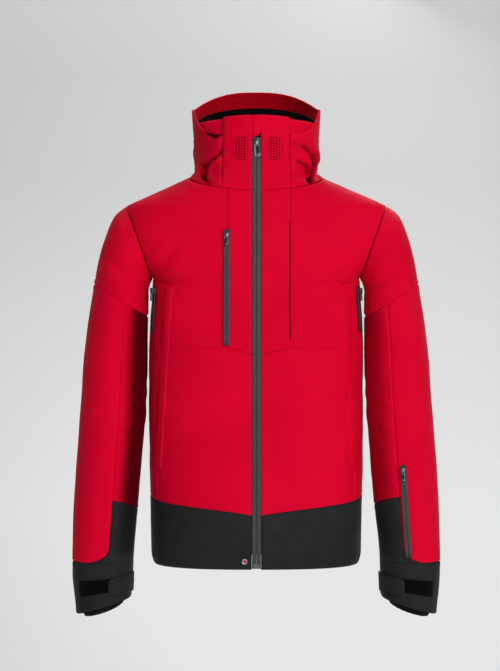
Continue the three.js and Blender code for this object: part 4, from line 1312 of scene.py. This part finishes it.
def sweep():
    path = [(-6.0, floor_z), (0.0, floor_z), (WALL - BEND, floor_z)]
    path += [(WALL - BEND + BEND * math.sin(a), floor_z + BEND * (1 - math.cos(a)))
             for a in np.linspace(0.08, math.pi / 2, 18)]
    path += [(WALL, floor_z + 5.5)]
    verts = [(x, y, z) for y, z in path for x in (-WIDTH, WIDTH)]
    faces = [(2 * k, 2 * k + 1, 2 * k + 3, 2 * k + 2) for k in range(len(path) - 1)]
    mesh = bpy.data.meshes.new("studio sweep")
    mesh.from_pydata(verts, [], faces)
    mesh.polygons.foreach_set("use_smooth", np.ones(len(faces), bool))
    n = Nodes("studio paper painted falloff")
    split = n.add("ShaderNodeSeparateXYZ")
    n.link(n.add("ShaderNodeNewGeometry").outputs["Position"], split.inputs[0])
    # The paper is painted darker towards the top: a painted falloff of light across the backdrop.
    height = n.add("ShaderNodeMapRange")
    n.link(split.outputs["Z"], height.inputs["Value"])
    height.inputs["From Min"].default_value = float(EYE[2]) - 0.6
    height.inputs["From Max"].default_value = float(EYE[2]) + 0.95
    base = n.blend(height.outputs["Result"], (0.82, 0.826, 0.822), (0.60, 0.605, 0.60))
    rough, grain = n.span(n.noise(3), 0.9, 1.0), n.bump(n.noise(200), 0.0002, 0.1)
    mesh.materials.append(n.finish(base, rough, grain, specular=0.0))
    obj = bpy.data.objects.new("studio_sweep", mesh)
    bpy.context.scene.collection.objects.link(obj)


def lamp(name, place, target, size, power, tall=None):
    data = bpy.data.lights.new(name, "AREA")
    data.shape = "RECTANGLE"
    data.size, data.size_y = size, tall or size
    data.energy = power
    obj = bpy.data.objects.new(name, data)
    bpy.context.scene.collection.objects.link(obj)
    obj.location = place
    obj.rotation_euler = (Vector(target) - Vector(place)).to_track_quat("-Z", "Y").to_euler()


sweep()
middle = (0, float(EYE[1]), float(EYE[2]))
lamp("key", (1.9, -3.5, 0.9), middle, 1.5, 92)
lamp("fill", (-0.7, -4.1, 0.3), middle, 1.2, 36)
lamp("top", (0, 0.1, 2.6), middle, 1.8, 10)
lamp("back", (0.9, 2.7, 1.7), middle, 1.8, 30)
lamp("backdrop", (0, 1.0, 2.9), (0, WALL, -0.4), 3.4, 78, 1.2)
world = bpy.data.worlds.new("studio")
world.use_nodes = True
world.node_tree.nodes["Background"].inputs["Color"].default_value = (0.9, 0.93, 1.0, 1)
world.node_tree.nodes["Background"].inputs["Strength"].default_value = 0.12
bpy.context.scene.world = world

camera = bpy.data.cameras.new("camera")
camera.lens = 104.4
camera.sensor_width = 36
camera.clip_end = 60
view = bpy.data.objects.new("camera", camera)
bpy.context.scene.collection.objects.link(view)
view.location = (EYE[0], EYE[1] - CAMERA_DISTANCE, EYE[2])
view.rotation_euler = (math.pi / 2, 0, 0)
bpy.context.scene.camera = view
bpy.context.scene.view_settings.view_transform = "Standard"
bpy.context.scene.view_settings.look = "None"
